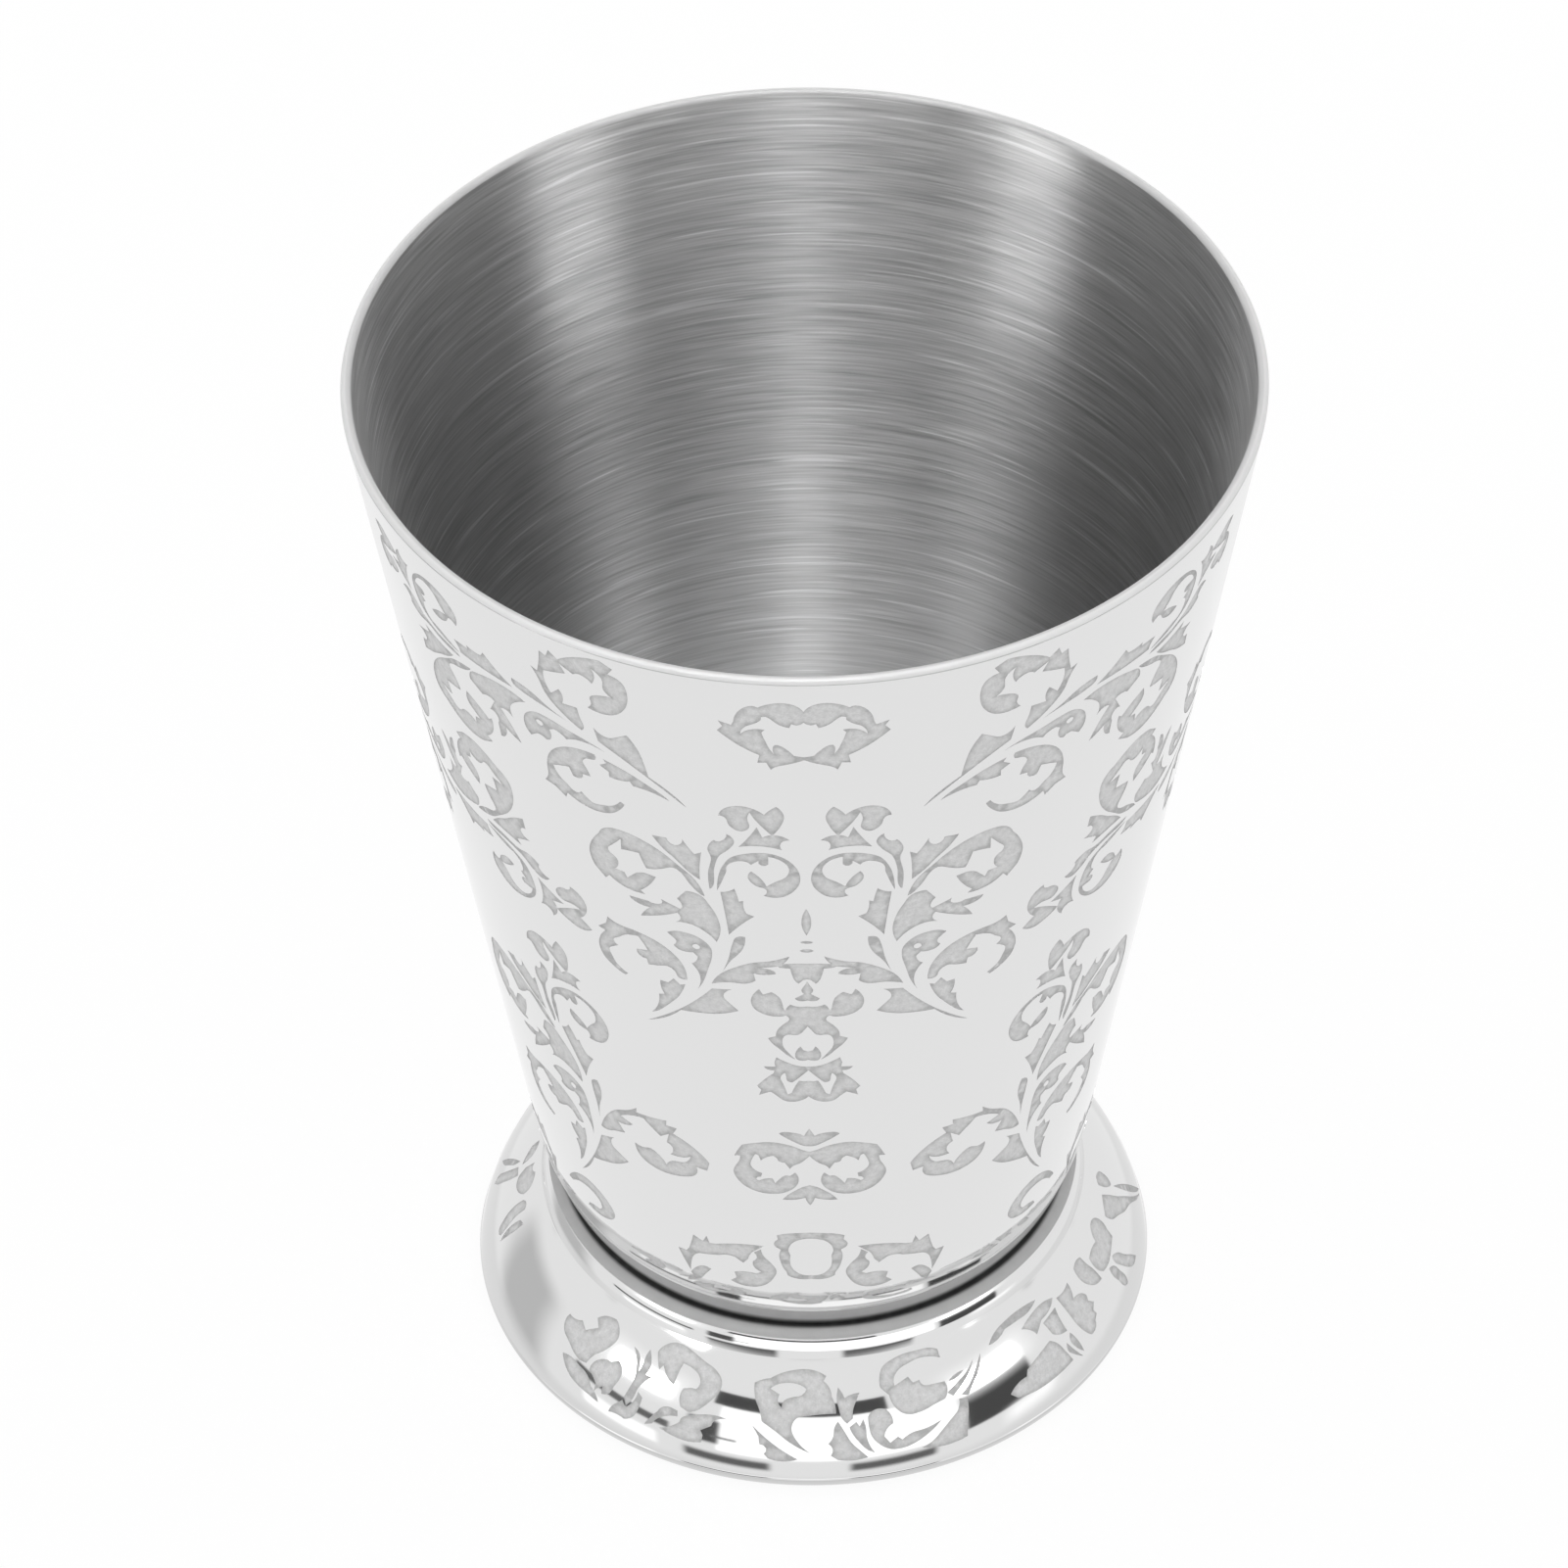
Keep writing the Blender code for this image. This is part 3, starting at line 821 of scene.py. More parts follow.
def cut_sheet(border, leaves, gaps, plain):
    """Triangles of a flat sheet, which of them are etched, and which points lie on an outline."""
    near_outline = outline_tree(leaves + gaps + [border])
    plain = [point for point in plain if near_outline.find((point.x, point.y, 0))[2] > PLAIN_MARGIN]
    points = []
    loops = []
    for loop in [border] + leaves + gaps:
        area = sum(a.cross(b) for a, b in zip(loop, loop[1:] + loop[:1]))
        indices = list(range(len(points), len(points) + len(loop)))
        loops.append(indices if area > 0 else indices[::-1])
        points += loop
    points += plain + leaf_fill(leaves, near_outline)
    made = geometry.delaunay_2d_cdt(points, [], loops, 1, SNAP, True)
    corners, faces, owners = made[0], made[2], made[5]
    first_gap = 1 + len(leaves)
    kept = [(face, owner) for face, owner in zip(faces, owners) if 0 in owner]
    bitten = [any(0 < k < first_gap for k in owner) and max(owner) < first_gap for face, owner in kept]
    etched_points = {i for (face, owner), is_bitten in zip(kept, bitten) if is_bitten for i in face}
    plain_points = {i for (face, owner), is_bitten in zip(kept, bitten) if not is_bitten for i in face}
    return corners, [face for face, owner in kept], bitten, etched_points & plain_points


print("leaf fill every", LEAF_FILL, "mm")

# %% [markdown]
# ## The quarter wall
#
# One quarter of the wall is cut from its fan, rolled up and given its two finishes. A Mirror modifier then
# makes the other three quarters and closes the seams between them.

# %% Make the wall of the cup
TURN_STEPS = 256
QUARTER_STEPS = TURN_STEPS // 4
WALL_FOOT = -2.89
WALL_TOP = 96.75
PLAIN_ROWS = 31
PLAIN_COLUMNS = 32


def rolled_sheet(name, sheet, place):
    """A mesh of a cut sheet, each point put in its place, with polished and etched faces."""
    corners, faces, bitten, on_edge = sheet
    used = sorted({i for face in faces for i in face})
    index = {old: new for new, old in enumerate(used)}
    mesh = bpy.data.meshes.new(name)
    places = [place(*corners[i]) for i in used]
    mesh.from_pydata(places, [], [[index[i] for i in face] for face in faces])
    mesh.materials.append(polished)
    mesh.materials.append(etched)
    mesh.polygons.foreach_set("material_index", [int(is_bitten) for is_bitten in bitten])
    edge = mesh.attributes.new("edge", "FLOAT", "POINT")
    edge.data.foreach_set("value", [float(i in on_edge) for i in used])
    drawn = mesh.attributes.new("drawn", "BOOLEAN", "FACE")
    drawn.data.foreach_set("value", [True] * len(mesh.polygons))
    piece = bpy.data.objects.new(name, mesh)
    bpy.context.collection.objects.link(piece)
    return piece


quarter = -math.pi / 2
turns = [quarter * k / QUARTER_STEPS for k in range(QUARTER_STEPS + 1)]
rows = [WALL_FOOT + (WALL_TOP - WALL_FOOT) * k / PLAIN_ROWS for k in range(PLAIN_ROWS + 1)]
border = [fan(turn, WALL_FOOT) for turn in turns]
border += [fan(quarter, up) for up in rows[1:-1]]
border += [fan(turn, WALL_TOP) for turn in reversed(turns)]
border += [fan(0, up) for up in reversed(rows[1:-1])]
plain = [fan(quarter * k / PLAIN_COLUMNS, up) for up in rows for k in range(PLAIN_COLUMNS + 1)]
wall = rolled_sheet("cup", cut_sheet(border, wall_leaves, wall_gaps, plain), rolled)
print("quarter wall:", len(wall.data.polygons), "triangles")

# %% [markdown]
# ## Four quarters, and the etching's depth
#
# The mirrored wall is one open tube. Its etched faces are then picked by their finish and extruded inwards by
# four hundredths of a millimetre, so a leaf has a real edge that catches the light, and is there in the mesh.

# %% Mirror the wall and sink the etching
ETCH_DEPTH = 0.04
MERGE = 0.004


def only(piece):
    """Makes a piece the only selected and the active one."""
    bpy.ops.object.select_all(action="DESELECT")
    piece.select_set(True)
    bpy.context.view_layer.objects.active = piece


def face_outwards():
    """Merges doubles and turns the faces of the piece in edit mode outwards."""
    bpy.ops.mesh.select_all(action="SELECT")
    bpy.ops.mesh.remove_doubles(threshold=MERGE * MM)
    bpy.ops.mesh.normals_make_consistent(inside=False)


def sink_etching(piece):
    """Extrudes the faces of the etched finish a little way in."""
    slot = piece.data.materials.find(etched.name)
    bpy.ops.object.mode_set(mode="EDIT")
    face_outwards()
    bpy.ops.mesh.select_all(action="DESELECT")
    bpy.ops.mesh.select_mode(type="FACE")
    piece.active_material_index = slot
    bpy.ops.object.material_slot_select()
    bpy.ops.mesh.extrude_region_shrink_fatten(TRANSFORM_OT_shrink_fatten={"value": -ETCH_DEPTH * MM})
    bpy.ops.object.mode_set(mode="OBJECT")


only(wall)
mirror = wall.modifiers.new("four quarters", "MIRROR")
mirror.use_axis = (True, True, False)
mirror.merge_threshold = MERGE * MM
bpy.ops.object.modifier_apply(modifier=mirror.name)
sink_etching(wall)
print("whole wall:", len(wall.data.polygons), "faces")

# %% [markdown]
# ## Turning a section
#
# Everything but the drawn wall and skirt is turned. A turner would draw half of the section, so a single point
# is extruded along that section and the line is spun round. The same number of steps as on the wall makes the
# rings meet point for point. A section is made of arcs, of the other side of the sheet, and of its rounded cut
# edges.

# %% Tools for a section
def bend(centre, radius, start, end, steps):
    """Points on an arc of the section, from one angle to another."""
    angles = [start + (end - start) * k / steps for k in range(steps + 1)]
    return [centre + Vector((math.cos(a), math.sin(a))) * radius for a in angles]


def inner_side(section, sheet):
    """The section's line set in by the sheet's thickness, on the left of its run."""
    spans = [(b - a).normalized() for a, b in zip(section, section[1:])]
    spans = [spans[0]] + spans + [spans[-1]]
    moved_in = []
    for point, before, after in zip(section, spans, spans[1:]):
        left = Vector((-before.y, before.x)) + Vector((-after.y, after.x))
        moved_in.append(point + left * (sheet / (1 + before.dot(after))))
    return moved_in


def rounded_edge(end, along, left, sheet, rounding, steps):
    """The cut edge of a sheet, rounded on both sides, from its right side to its left."""
    first = end + (left - along) * rounding
    second = end + left * (sheet - rounding) - along * rounding
    quarter_turn = [math.pi / 2 * k / steps for k in range(steps + 1)]
    edge = [first + (along * math.sin(a) - left * math.cos(a)) * rounding for a in quarter_turn]
    return edge + [second + (along * math.cos(a) + left * math.sin(a)) * rounding for a in quarter_turn]


def turned(name, section):
    """A point that is extruded along a section, and the line spun round the axis."""
    bpy.ops.object.select_all(action="DESELECT")
    bpy.ops.mesh.primitive_plane_add(size=MM)
    piece = bpy.context.object
    piece.name = name
    bpy.ops.object.mode_set(mode="EDIT")
    bpy.ops.mesh.select_mode(type="VERT")
    bpy.ops.mesh.select_all(action="SELECT")
    bpy.ops.mesh.merge(type="CENTER")
    bpy.ops.transform.translate(value=(section[0].x * MM, 0, section[0].y * MM))
    for a, b in zip(section, section[1:]):
        step = ((b.x - a.x) * MM, 0, (b.y - a.y) * MM)
        bpy.ops.mesh.extrude_region_move(TRANSFORM_OT_translate={"value": step})
    bpy.ops.mesh.select_all(action="SELECT")
    bpy.ops.mesh.spin(steps=TURN_STEPS, angle=math.tau, center=(0, 0, 0), axis=(0, 0, 1))
    face_outwards()
    bpy.ops.object.mode_set(mode="OBJECT")
    return piece


print("steps round a turned piece:", TURN_STEPS)

# %% [markdown]
# ## The rest of the cup
#
# The rounded lip, the inside, its floor, the heel and the underside are turned. The inside is the outside's
# line set in by the sheet's thickness, with a softer heel than the outside has.

# %% Turn the lip, the inside and the heel
SHEET = 1.0
LIP_ROUNDING = 0.42
HEEL = (25.4, 14.9)
HEEL_CURVE = 0.5
SOFT_HEEL = 1.8
BOTTOM_RINGS = (0.75, 0.4, 0.12, 0)
INSIDE_RINGS = 14

bend_end = wall_point(WALL_FOOT)
tuck = (Vector(HEEL) - bend_end).normalized()
tuck_out = Vector((-tuck.y, tuck.x))
bottom = [Vector((HEEL[0] * share, HEEL[1])) for share in BOTTOM_RINGS]


def heel_arc(curve):
    """The rounding between the wall's foot and the flat bottom."""
    reach = curve * math.tan(math.acos(-tuck.x) / 2)
    centre = Vector((HEEL[0] - reach, HEEL[1] + curve))
    return bend(centre, curve, math.atan2(tuck_out.y, tuck_out.x), -math.pi / 2, steps=10)


wall_end = wall_point(WALL_TOP)
knuckle = [wall_point(up) for up in np.linspace(KNUCKLE_BEND, WALL_FOOT, num=9)]
inner = inner_side([wall_end] + knuckle + heel_arc(SOFT_HEEL) + bottom, -SHEET)
heel = heel_arc(HEEL_CURVE)
lip_end = wall_end + UP_THE_WALL * LIP_ROUNDING
lip = rounded_edge(lip_end, UP_THE_WALL, -OUT_OF_THE_WALL, SHEET, LIP_ROUNDING, steps=6)
inside_wall = [inner[0].lerp(inner[1], k / INSIDE_RINGS) for k in range(1, INSIDE_RINGS)]
upper = turned("cup_inside", lip + inside_wall + inner[1:])
lower = turned("cup_heel", [bend_end] + heel + bottom)
print("lip at", round(max(point.y for point in lip), 2), "mm; inside floor at", round(inner[-1].y, 2), "mm")

# %% [markdown]
# ## Joining a piece
#
# A drawn sheet and its turned parts are joined, their rings are merged and the faces are turned outwards. The
# piece is turned by a hair, as it stands in the photograph. Its drawn faces are then given the exact normals of
# the cone or the bulge that they were drawn on, because a mirror shows the slightest facet.

# %% Tools for a closed piece
FRONT_TURN = math.radians(-0.8)
SMOOTH_ANGLE = math.radians(30)
FACING_OUT = 0.8


def give_finish(piece, *finishes):
    """Adds finishes to a piece, as slots that its faces are then shared out to."""
    for finish in finishes:
        piece.data.materials.append(finish)


def joined(main, *others):
    """Joins pieces into the first one, merges their rings and turns the faces outwards."""
    only(main)
    for other in others:
        other.select_set(True)
    bpy.ops.object.join()
    bpy.ops.object.mode_set(mode="EDIT")
    face_outwards()
    bpy.ops.object.mode_set(mode="OBJECT")
    bpy.ops.object.shade_smooth_by_angle(angle=SMOOTH_ANGLE)


def open_edges(piece):
    """How many edges don't have exactly two faces: none on a closed piece."""
    count = {}
    for face in piece.data.polygons:
        for key in face.edge_keys:
            count[key] = count.get(key, 0) + 1
    return sum(1 for faces in count.values() if faces != 2)


def way_out(place, out_of_section):
    """The way out of a turned shape at a place on it, from the way out of its section there."""
    radius = math.hypot(place.x, place.y)
    out = out_of_section(Vector((radius, place.z)) / MM)
    return Vector((place.x / radius * out.x, place.y / radius * out.x, out.y))


def settle(piece, out_of_section):
    """Turns a piece to the front and gives its drawn faces the normals of the shape they were drawn on."""
    piece.rotation_euler.z = FRONT_TURN
    bpy.ops.object.transform_apply(location=False, rotation=True, scale=False)
    mesh = piece.data
    drawn = mesh.attributes["drawn"].data
    normals = [Vector((0, 0, 0))] * len(mesh.loops)
    for face in mesh.polygons:
        if not drawn[face.index].value:
            continue
        if face.normal.dot(way_out(face.center, out_of_section)) < FACING_OUT:
            continue
        for corner in face.loop_indices:
            point = mesh.vertices[mesh.loops[corner].vertex_index].co
            normals[corner] = way_out(point, out_of_section)
    mesh.normals_split_custom_set(normals)


print("drawn sheets are smooth below", round(math.degrees(SMOOTH_ANGLE)), "degrees")

# %% [markdown]
# ## One closed cup
#
# The turned parts get their finishes: a satin lip, the brushed inside with its spun floor, a dull heel where
# the foot is close, painted near black there as shade, and an underside as it came from the lathe. Then the cup
# is joined, and stands in for the frame's.

# %% Join the cup
FLOOR_EDGE = 0.05


def out_of_cup(section):
    """The way out of the cup's section at a point of its wall."""
    up = (section - Vector(KNUCKLE)).dot(UP_THE_WALL)
    return OUT_OF_THE_WALL if up >= KNUCKLE_BEND else (section - BEND_CENTRE).normalized()


give_finish(upper, satin, brushed, spun)
give_finish(lower, polished, crease, spun)
for face in lower.data.polygons:
    under = math.hypot(face.center.x, face.center.y) < bottom[0].x * MM
    # The heel takes the crease's dull finish, which is painted near black here as shade where the foot is close.
    face.material_index = 2 if under else int(face.center.z < heel[0].y * MM)
for face in upper.data.polygons:
    on_floor = face.center.z < (inner[-1].y + FLOOR_EDGE) * MM
    face.material_index = 2 if on_floor else int(face.center.z < lip[-1].y * MM)
joined(wall, upper, lower)
cup = wall
settle(cup, out_of_cup)
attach(cup, "root")
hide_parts("cup_body")
print("cup:", len(cup.data.polygons), "faces,", open_edges(cup), "open edges")

# %% [markdown]
# ## The ornament of the foot
#
# The skirt of the foot carries scrolls of the same kind, which follow one another round it. They are drawn in
# millimetres round the skirt from the front, and down from the groove above it. The scrolls at the front come
# again at the back, which the photograph doesn't show.

# %% Outline the leaves of the skirt
SKIRT_FRONT = [
    "-17.3,-2.4/ -16.9,-1.6 -15.9,-0.9 -14.6,-0.8 -13.2,-1.2 -11.8,-1.7 -10.5,-2.2 -9.6,-3.1 -9.6,-4.2 -10.1,-5"
    " -10.8,-5.9 -11.6,-6.7 -12.4,-7.1/ -13.3,-6.8/ -13.6,-5.8 -13.4,-4.9/ -12.6,-4.6/ -12.1,-4.6/ -11.8,-3.8"
    " -12.2,-3.1 -13,-2.7 -14.1,-2.5/ -14.3,-3.2 -14.4,-3.9 -14.5,-4.9/ -15.3,-4.5 -15.9,-3.8/ -16.2,-3.4/"
    " -16.5,-4/ -16.9,-3.3",
    "-20.1,-3/ -19.3,-3.3 -18.8,-4 -18.6,-5/ -18.4,-4 -18.4,-3.2 -18.2,-2.5/ -17.8,-3.1 -17.5,-4 -17.7,-5/"
    " -17,-5/ -17.6,-5.8 -18.1,-6.7 -18.3,-7.8 -18.9,-9/ -19.3,-8.2/ -19,-7 -18.8,-6 -19,-4.8 -19.4,-3.8",
    "-23.4,-1.6/ -22.6,-2.2 -22.2,-3.1 -22.6,-4.2 -23.3,-5.2 -24,-6 -24.5,-7.2/ -25.4,-7.4/ -26.4,-7.1"
    " -27.3,-6.6 -28.2,-6.2/ -29,-5.2 -28.9,-4.2/ -28,-4.2 -27.1,-3.8/ -26.2,-4.4/ -25.5,-3.8 -24.9,-3.4/"
    " -25.6,-2.6/ -25,-2 -24.2,-1.7",
    "-21.1,-5/ -20.4,-5.6 -20.3,-6.6 -20.7,-7.8 -20.9,-8.6 -21.8,-9.2/ -21.9,-8.4/ -22.4,-8.9 -22.7,-9.4/"
    " -22.7,-8.6/ -23.2,-8.1 -23.9,-7.6/ -23.7,-6.6 -22.7,-5.7 -21.9,-5.6/",
    "-27.6,-8/ -26.4,-7.7 -25.2,-7.9 -24,-8.2 -23.2,-9.1/ -22.3,-9.7 -21.9,-10.3/ -23.3,-10.1"
    " -24.8,-9.9 -26.2,-9.4",
    "-19.9,-9.2/ -19.4,-8.6/ -18.9,-9.2/ -18.1,-7.9 -18,-7/ -17.4,-7.4/ -17.5,-8.6 -17.9,-9.8 -18.8,-10.5/"
    " -19.7,-10.4 -20.6,-10.6/ -20.4,-9.9",
    "-13.4,-7.9/ -14.4,-8.2 -15.4,-8.9 -15.8,-9.6/ -16.6,-10/ -16.2,-9.2 -15.5,-8.1/ -15,-7.4"
    " -14.2,-7.2/ -13.5,-7.3/",
    "-8.3,-6.9/ -9.5,-7.15 -9.9,-7.9/ -10.9,-8.6/ -10.6,-9.1/ -10.7,-9.9/ -12,-10.2 -13.6,-10.1 -15,-9.75/"
    " -14,-9.2 -13.1,-8.4/ -12.9,-7.8 -12.3,-7.45 -11,-6.95 -9.6,-6.7",
    "-6.1,-2.7/ -5.3,-2.3 -4.5,-2.1/ -3.6,-1.6 -2.4,-1.2 -0.8,-1 0.5,-1.2 1.5,-1.7/ 1.2,-2.2/ 1.8,-2.9 2,-3.8/"
    " 2.3,-4.6 2.35,-5.5/ 1.4,-5.5 0,-5.6 -1.4,-5.8/ -2,-6.6 -1.9,-7.6/ -1.1,-8.8 -0.2,-9.6/ -1.2,-9.1"
    " -2.3,-8.4 -3.6,-7.4 -5,-6.5/ -5.3,-5.4 -5.8,-4.4",
    "-5.9,-7/ -4.6,-8.1 -3,-9.3 -1.4,-10.3/ -2.8,-10.6 -4.2,-10.4/ -4.6,-9.9/ -4.4,-9.3 -5.1,-8.9/ -5.2,-8.1/",
    "2.5,-6.3/ 3.1,-7.4 3.7,-8.6 4.6,-9.7 5.2,-10.4/ 3.8,-10.6 2.3,-10.4/ 1.7,-9.9/ 1.9,-9.2 1.5,-8.6/"
    " 2,-7.8 2.1,-7",
    "2.7,-2.9/ 3.1,-3.5 3.3,-4/ 4,-3.7 4.9,-3.6/ 4.5,-4.3 4.1,-5.2 4,-6.1/ 3.4,-6.6/ 2.9,-6 2.65,-5 2.5,-4",
    "3.6,-7/ 4.3,-6.5/ 4.6,-7/ 5,-6.3/ 5.2,-7.2 5.2,-8.2 5.5,-9.3 5.9,-10/ 5.2,-9.6 4.4,-8.6 3.9,-7.8",
    "7.1,-3.4/ 7.2,-2.3 7.7,-1.4 8.8,-0.9 10.2,-0.6 11.8,-0.6 13.2,-0.7 14.2,-1.1/ 14.2,-2/ 13.2,-1.6 12,-1.4"
    " 10.6,-1.6 9.4,-2 8.7,-2.7 8.6,-3.5/ 9.4,-3.2 10.2,-2.9/ 10.6,-3.6/ 11.3,-3.5/ 11.6,-4.1 12.8,-4.3"
    " 13.9,-4.4/ 14,-5.2 13.5,-6.1/ 12.4,-6.3 11.2,-6.6 9.9,-6.7/ 8.9,-6.3 8.2,-5.4 7.9,-4.3/",
    "5.5,-6.1/ 6.2,-5.5 7.3,-5.6/ 7.8,-6.3 7.9,-7.2/ 7.2,-7.7 6.9,-8.4/ 7.4,-9.2/ 8.2,-8.7/ 8.6,-9.1/"
    " 9.6,-8.6 11,-8.5 12.7,-8.1/ 11.6,-8.9 10.2,-9.6 8.8,-10 7.4,-9.9 6.4,-9.2 5.7,-8.2 5.5,-7.1",
    "14.9,-6.6/ 14.6,-7.6 13.6,-8.4 12.6,-9.2 11.6,-10 10.4,-10.5/ 12,-10.9 13.6,-11 15,-10.8/ 15.2,-9.6"
    " 15.6,-8.2 15.8,-6.8/",
    "13.9,-5.6/ 15,-5 16.4,-4.3 17.6,-3.4/ 16.6,-4.6 15.4,-5.5 14.4,-6.1/",
    "15.2,-6.3/ 16.4,-5.5 17.4,-4.5 18.6,-3.2/ 17.8,-4.7 16.8,-5.7 16,-6.6/",
    "14.3,-4.5/ 15.2,-4.1 16.2,-4/ 15.2,-4.5",
]
SKIRT_SIDES = [
    "20.3,-8.6/ 21.2,-8 22.6,-7.8/ 22.9,-7.2/ 24.4,-6.7 26.6,-6.1/ 27.4,-7 27.9,-8.3 28.4,-9.7/"
    " 26,-9.9 23,-9.8 21,-9.4/",
    "19.9,-2.9/ 21,-2.1 23,-1.6 25.4,-1.5 27.6,-1.8/ 26,-2.3 24.2,-2.3 22.4,-2.3/ 21.2,-2.8",
    "24.2,-3.3/ 26,-2.7 28,-2.5 29.6,-2.9/ 28.6,-3.5 26.9,-3.8/ 25.6,-4.7/ 25.2,-4",
    "26.9,-4.2/ 28,-4 29.2,-3.8/ 29,-5 29.1,-6.6/ 28.2,-6.4 27.3,-5.8/",
    "30,-3.2/ 31.2,-3.3 32.4,-3/ 32.2,-4 31.8,-4.7/ 33,-4.9 33.6,-5.6/ 33.4,-6.2/ 34,-6.8/ 33.4,-7.4/ 33.6,-8/"
    " 33,-8.4/ 32.8,-9 31.8,-9.2/ 31.2,-8.4 30.6,-7 30.3,-5.4",
    "29.3,-7/ 29.8,-8.2 30.1,-9.9/ 29.3,-8.8 28.95,-7.8",
    "28.4,-7.6/ 29,-8.9 29.8,-10.3/ 28.8,-9.3 28.2,-8.4",
    "34.3,-2.7/ 35.4,-2.4 36.1,-2.6/ 36.2,-3.6 36.5,-4.6 36.7,-6.1/ 35.6,-5.9 34.7,-5.2 34.1,-4",
    "37,-3.6/ 38.2,-3.3 39.4,-3.4/ 40.1,-2.4 41.2,-2 42,-2.3/ 42.4,-3.2 42.1,-4.2/ 42,-5.2/ 40.6,-5.6"
    " 39,-6 37.6,-5.9/ 36.9,-5",
    "38.5,-6.4/ 39.4,-6.9 39.8,-8 40.2,-9 40.1,-10/ 39.3,-9.6 38.8,-8.4 38.4,-7.4",
    "40,-6.1/ 41,-6.6 41.9,-7.8 43,-9 43.7,-9.9/ 42.4,-9.9 41.3,-9 40.4,-7.8 39.8,-6.8",
    "43.4,-3.6/ 44.6,-3 45.8,-2.6/ 46.6,-3.6 47.4,-4.8 48.4,-6 50.2,-8.2 52.6,-10.6/ 50.6,-9.2 48.2,-7.2"
    " 46.6,-6.4 45.2,-5.4 43.9,-4.6",
    "46.8,-2/ 47.8,-1.6 48.9,-2/ 48.9,-3.2 48.3,-3.8/ 47.4,-3.2",
    "48.4,-4.2/ 49.8,-5.6 51,-7.2 52.2,-9 53.4,-10.8/ 52.1,-9.7 50.6,-8 49.3,-6",
    "-51.6,-3.2/ -52.8,-4.4 -54,-6 -54.8,-7.4/ -53.4,-6.4 -52.5,-5.2 -51.8,-4.2",
    "-50.9,-3.4/ -49.6,-3.4/ -50,-4.6 -50.8,-6.2 -51.6,-7.6 -52.4,-8.4/ -52.8,-7.6 -52.1,-6 -51.4,-4.6",
    "-53.2,-0.6/ -52,-0.8 -51,-1.6 -50.8,-2.8/ -51.6,-2.4 -52.8,-1.6/",
    "-49.8,-0.9/ -49,-1.2 -48.2,-0.8/ -47.4,-1 -46.4,-1.6 -46.2,-2.6/ -47,-3.3 -48.4,-3.6"
    " -49.4,-3.2/ -49.9,-2.2/",
    "-45.4,-2.7/ -44.6,-2.4 -44,-2.8/ -44.2,-4.4 -44.1,-6 -44.2,-7.2/ -45,-7.3 -45.5,-6 -45.7,-4.4",
    "-43.2,-3.6/ -42.4,-3.4/ -42.6,-4.6 -43,-5.8 -43.6,-7.4/ -43.8,-6 -43.6,-4.6",
]
SKIRT_GAPS = [
    "-4.4,-3.1/ -3.6,-2.6 -2.4,-2.4 -1.2,-2.6 -0.6,-3/ -1.1,-3.6 -2,-3.8 -2.9,-4.2 -3.1,-4.9/"
    " -3.5,-4.4 -3.4,-3.6/",
]
SKIRT_ROUND = 31.5

front_leaves = [outline(text) for text in SKIRT_FRONT]
front_gaps = [outline(text) for text in SKIRT_GAPS]
half_round = SKIRT_ROUND * math.pi
half_turns = [(half_round, 0), (-half_round, 0)]
skirt_leaves = front_leaves + [outline(text) for text in SKIRT_SIDES]
skirt_leaves += [moved(leaf, 0, to) for leaf in front_leaves for to in half_turns]
skirt_gaps = front_gaps + [moved(gap, 0, to) for gap in front_gaps for to in half_turns]
print(len(skirt_leaves), "leaves round the skirt")

# %% [markdown]
# ## The skirt
#
# The skirt bulges, so it can't be unrolled exactly. Its drawing runs round at the skirt's middle radius and
# down along its curve, which hardly stretches anything over so narrow a band.

# %% Make the skirt of the foot
GROOVE = Vector((27.6, 12.2))
SKIRT_CENTRE = Vector((16.52, -1.97))
SKIRT_CURVE = (GROOVE - SKIRT_CENTRE).length
HEM_CURVE = 1.46
HEM_CENTRE = Vector((32.74, 1.46))
SKIRT_BANDS = 5
skirt_start = math.atan2(GROOVE.y - SKIRT_CENTRE.y, GROOVE.x - SKIRT_CENTRE.x)
skirt_end = math.atan2(HEM_CENTRE.y - SKIRT_CENTRE.y, HEM_CENTRE.x - SKIRT_CENTRE.x)
SKIRT_LENGTH = (skirt_start - skirt_end) * SKIRT_CURVE
BAND_TOP = -0.15
BAND_FOOT = -SKIRT_LENGTH


def skirt_point(down):
    """Radius and height at a distance down the skirt, which is below 0."""
    angle = skirt_start + down / SKIRT_CURVE
    return SKIRT_CENTRE + Vector((math.cos(angle), math.sin(angle))) * SKIRT_CURVE


def round_the_skirt(u, v):
    """Place on the skirt of a flat point."""
    return round_the_axis(u / SKIRT_ROUND, skirt_point(v))


steps = [half_round * (2 * k / TURN_STEPS - 1) for k in range(TURN_STEPS + 1)]
bands = [BAND_TOP + (BAND_FOOT - BAND_TOP) * k / SKIRT_BANDS for k in range(SKIRT_BANDS + 1)]
border = [Vector((u, BAND_TOP)) for u in steps]
border += [Vector((half_round, v)) for v in bands[1:-1]]
border += [Vector((u, BAND_FOOT)) for u in reversed(steps)]
border += [Vector((-half_round, v)) for v in reversed(bands[1:-1])]
plain = [Vector((u, v)) for u in steps[1:-1:2] for v in bands[1:-1]]
skirt = rolled_sheet("foot_spun", cut_sheet(border, skirt_leaves, skirt_gaps, plain), round_the_skirt)
only(skirt)
sink_etching(skirt)
print("skirt:", len(skirt.data.polygons), "faces,", round(SKIRT_LENGTH, 2), "mm down its curve")

# %% [markdown]
# ## The rest of the foot
#
# Above the skirt the foot has a groove, a bead that shows as a bright ring under the cup, and a flat seat.
# Below, its edge is turned in along the floor as a hem. All of that is one line of the section again: down the
# outside, round the cut edges and back along the inside of the sheet.

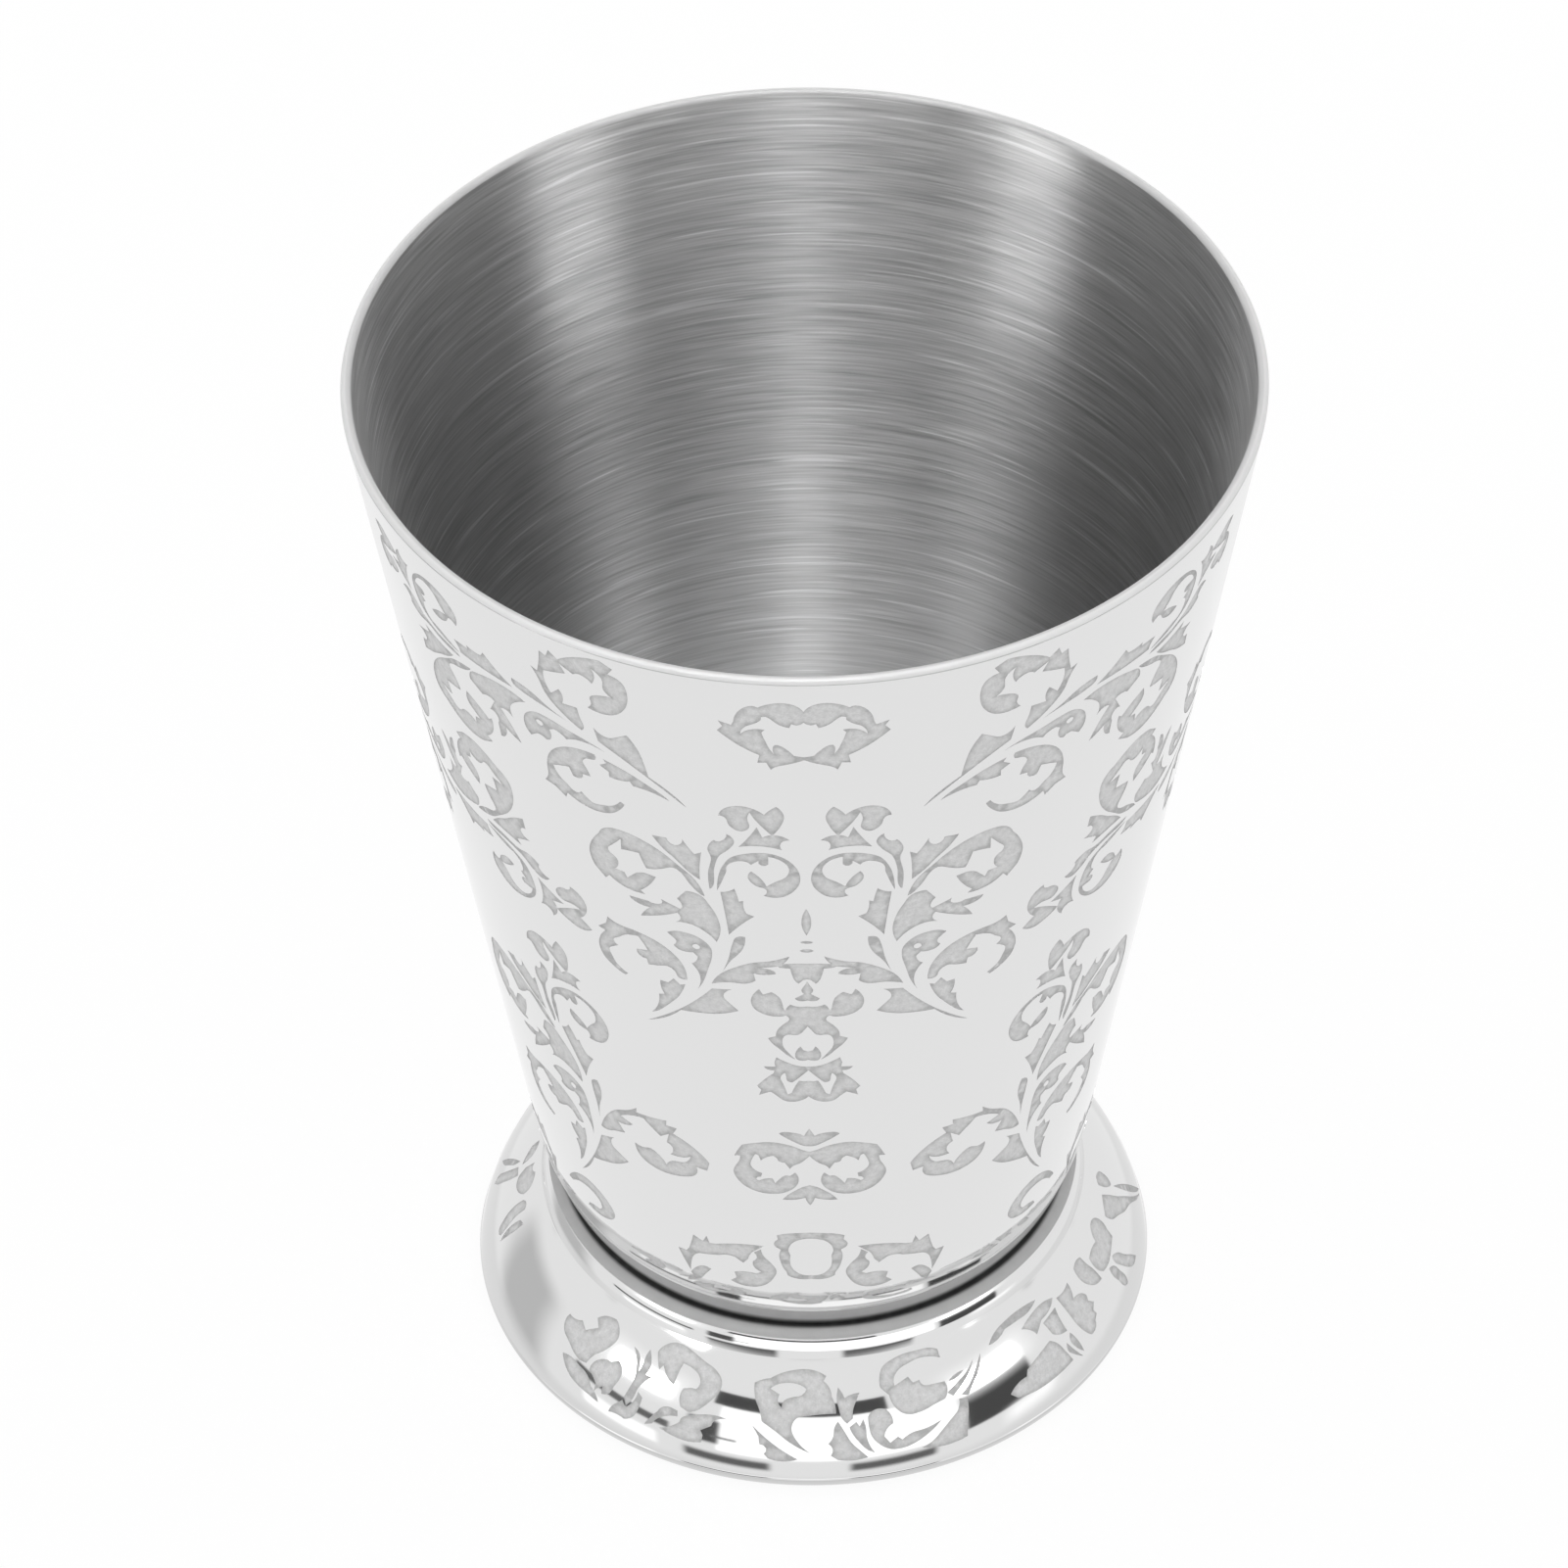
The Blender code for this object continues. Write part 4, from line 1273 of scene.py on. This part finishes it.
# %% Turn the seat, the bead and the hem
FOOT_SHEET = 0.9
SEAT_HEIGHT = 14.6
SEAT_OPENING = 17.0
SEAT_EDGE = 24.9
BEAD_FOOT = 0.67
BEAD_LEAN = math.radians(14)
BEAD_TURN = math.radians(33)
BEAD_SIDE_CURVE = 3.5
BEAD_TOP_CURVE = 2.0
CREASE_TURN = math.radians(42)
SKIRT_STEPS = 16
HEM_INNER = 30.54
EDGE_ROUNDING = 0.2

lean_out = Vector((math.cos(BEAD_LEAN), math.sin(BEAD_LEAN)))
turn_out = Vector((math.cos(BEAD_TURN), math.sin(BEAD_TURN)))
side_start = GROOVE + Vector((-lean_out.y, lean_out.x)) * BEAD_FOOT
side_centre = side_start - lean_out * BEAD_SIDE_CURVE
top_centre = side_centre + turn_out * (BEAD_SIDE_CURVE - BEAD_TOP_CURVE)
bead = bend(top_centre, BEAD_TOP_CURVE, math.pi / 2, CREASE_TURN, steps=10)
crease_edge = bead[-1]
bead += bend(top_centre, BEAD_TOP_CURVE, CREASE_TURN, BEAD_TURN, steps=3)[1:]
bead += bend(side_centre, BEAD_SIDE_CURVE, BEAD_TURN, BEAD_LEAN, steps=6)[1:]
bead = [Vector((SEAT_EDGE, SEAT_HEIGHT))] + bead
skirt_line = [skirt_point(-SKIRT_LENGTH * k / SKIRT_STEPS) for k in range(1, SKIRT_STEPS + 1)]
hem = bend(HEM_CENTRE, HEM_CURVE, skirt_end, -math.pi / 2, steps=14)[1:]
outside = [Vector((SEAT_OPENING, SEAT_HEIGHT))] + bead + [GROOVE]
outside += skirt_line + hem + [Vector((HEM_INNER, 0))]
inside_line = inner_side(outside, -FOOT_SHEET)
left = Vector((-1, 0))
hem_edge = rounded_edge(outside[-1], left, Vector((0, 1)), FOOT_SHEET, EDGE_ROUNDING, steps=3)
seat_edge = rounded_edge(outside[0], left, Vector((0, -1)), FOOT_SHEET, EDGE_ROUNDING, steps=3)
section = [skirt_line[-1]] + hem + hem_edge + inside_line[-2:0:-1]
section += seat_edge[::-1] + bead + [GROOVE, skirt_point(BAND_TOP)]
rest = turned("foot_rest", section)
print(len(section), "points in the section of the foot's rest")

# %% [markdown]
# ## One closed foot
#
# The crease on top of the bead gets the dull finish with its painted shade. The hem gets one of its own that is
# a little duller than the polish, and its grey is painted darker as the painted reflection of the floor's
# shadow by the foot. The foot is then joined in the same way as the cup.

# %% Join the foot
HEM_PAINTED_SHADE_GREY = 0.62
HEM_ROUGHNESS = 0.07


def out_of_skirt(section):
    """The way out of the foot's section at a point of its skirt."""
    return (section - SKIRT_CENTRE).normalized()


# The hem's darker grey is painted shade: the floor's shadow by the foot, as the hem would mirror it.
shaded_hem = buffed("hem_steel_painted_shade", HEM_PAINTED_SHADE_GREY, HEM_ROUGHNESS)
give_finish(rest, polished, crease, shaded_hem)
for face in rest.data.polygons:
    radius = math.hypot(face.center.x, face.center.y) / MM
    height = face.center.z / MM
    # The top of the bead by the crease takes the dull finish, which is painted darker towards the crease as
    # shade.
    in_crease = radius < crease_edge.x and height > crease_edge.y
    face.material_index = 2 if height < hem[0].y else int(in_crease)
joined(skirt, rest)
foot = skirt
settle(foot, out_of_skirt)
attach(foot, "root")
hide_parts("foot")
print("foot:", len(foot.data.polygons), "faces,", open_edges(foot), "open edges")

# %% [markdown]
# ## The braze
#
# A ring of silver braze joins the seat's inner edge to the bottom of the cup. It is hidden inside the foot, and
# its shape in the frame is right, so it only gets a finish: dull, a little yellow, and uneven as it flowed.

# %% Finish the braze
BRAZE_COLOUR = (0.70, 0.64, 0.50, 1)
BRAZE_ROUGHNESS = 0.3
FLOW_SCALE = 700.0
FLOW_ROUGHNESS = 0.25
RIPPLE_STRENGTH = 0.4
RIPPLE_DEPTH = 0.1

braze, tree, shader, place = new_finish("silver_braze")
flow = even_noise(tree, place, FLOW_SCALE, detail=3.0)
shader.inputs["Base Color"].default_value = BRAZE_COLOUR
roughness = BRAZE_ROUGHNESS + flow * FLOW_ROUGHNESS
tree.links.new(roughness.socket, shader.inputs["Roughness"])
rippling = {"Strength": RIPPLE_STRENGTH, "Distance": RIPPLE_DEPTH * MM, "Height": flow}
ripple = Wire.node(tree, "ShaderNodeBump", sockets=rippling)
tree.links.new(ripple.socket, shader.inputs["Normal"])
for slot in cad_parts["braze_ring"].material_slots:
    slot.material = braze
print("finish:", braze.name)
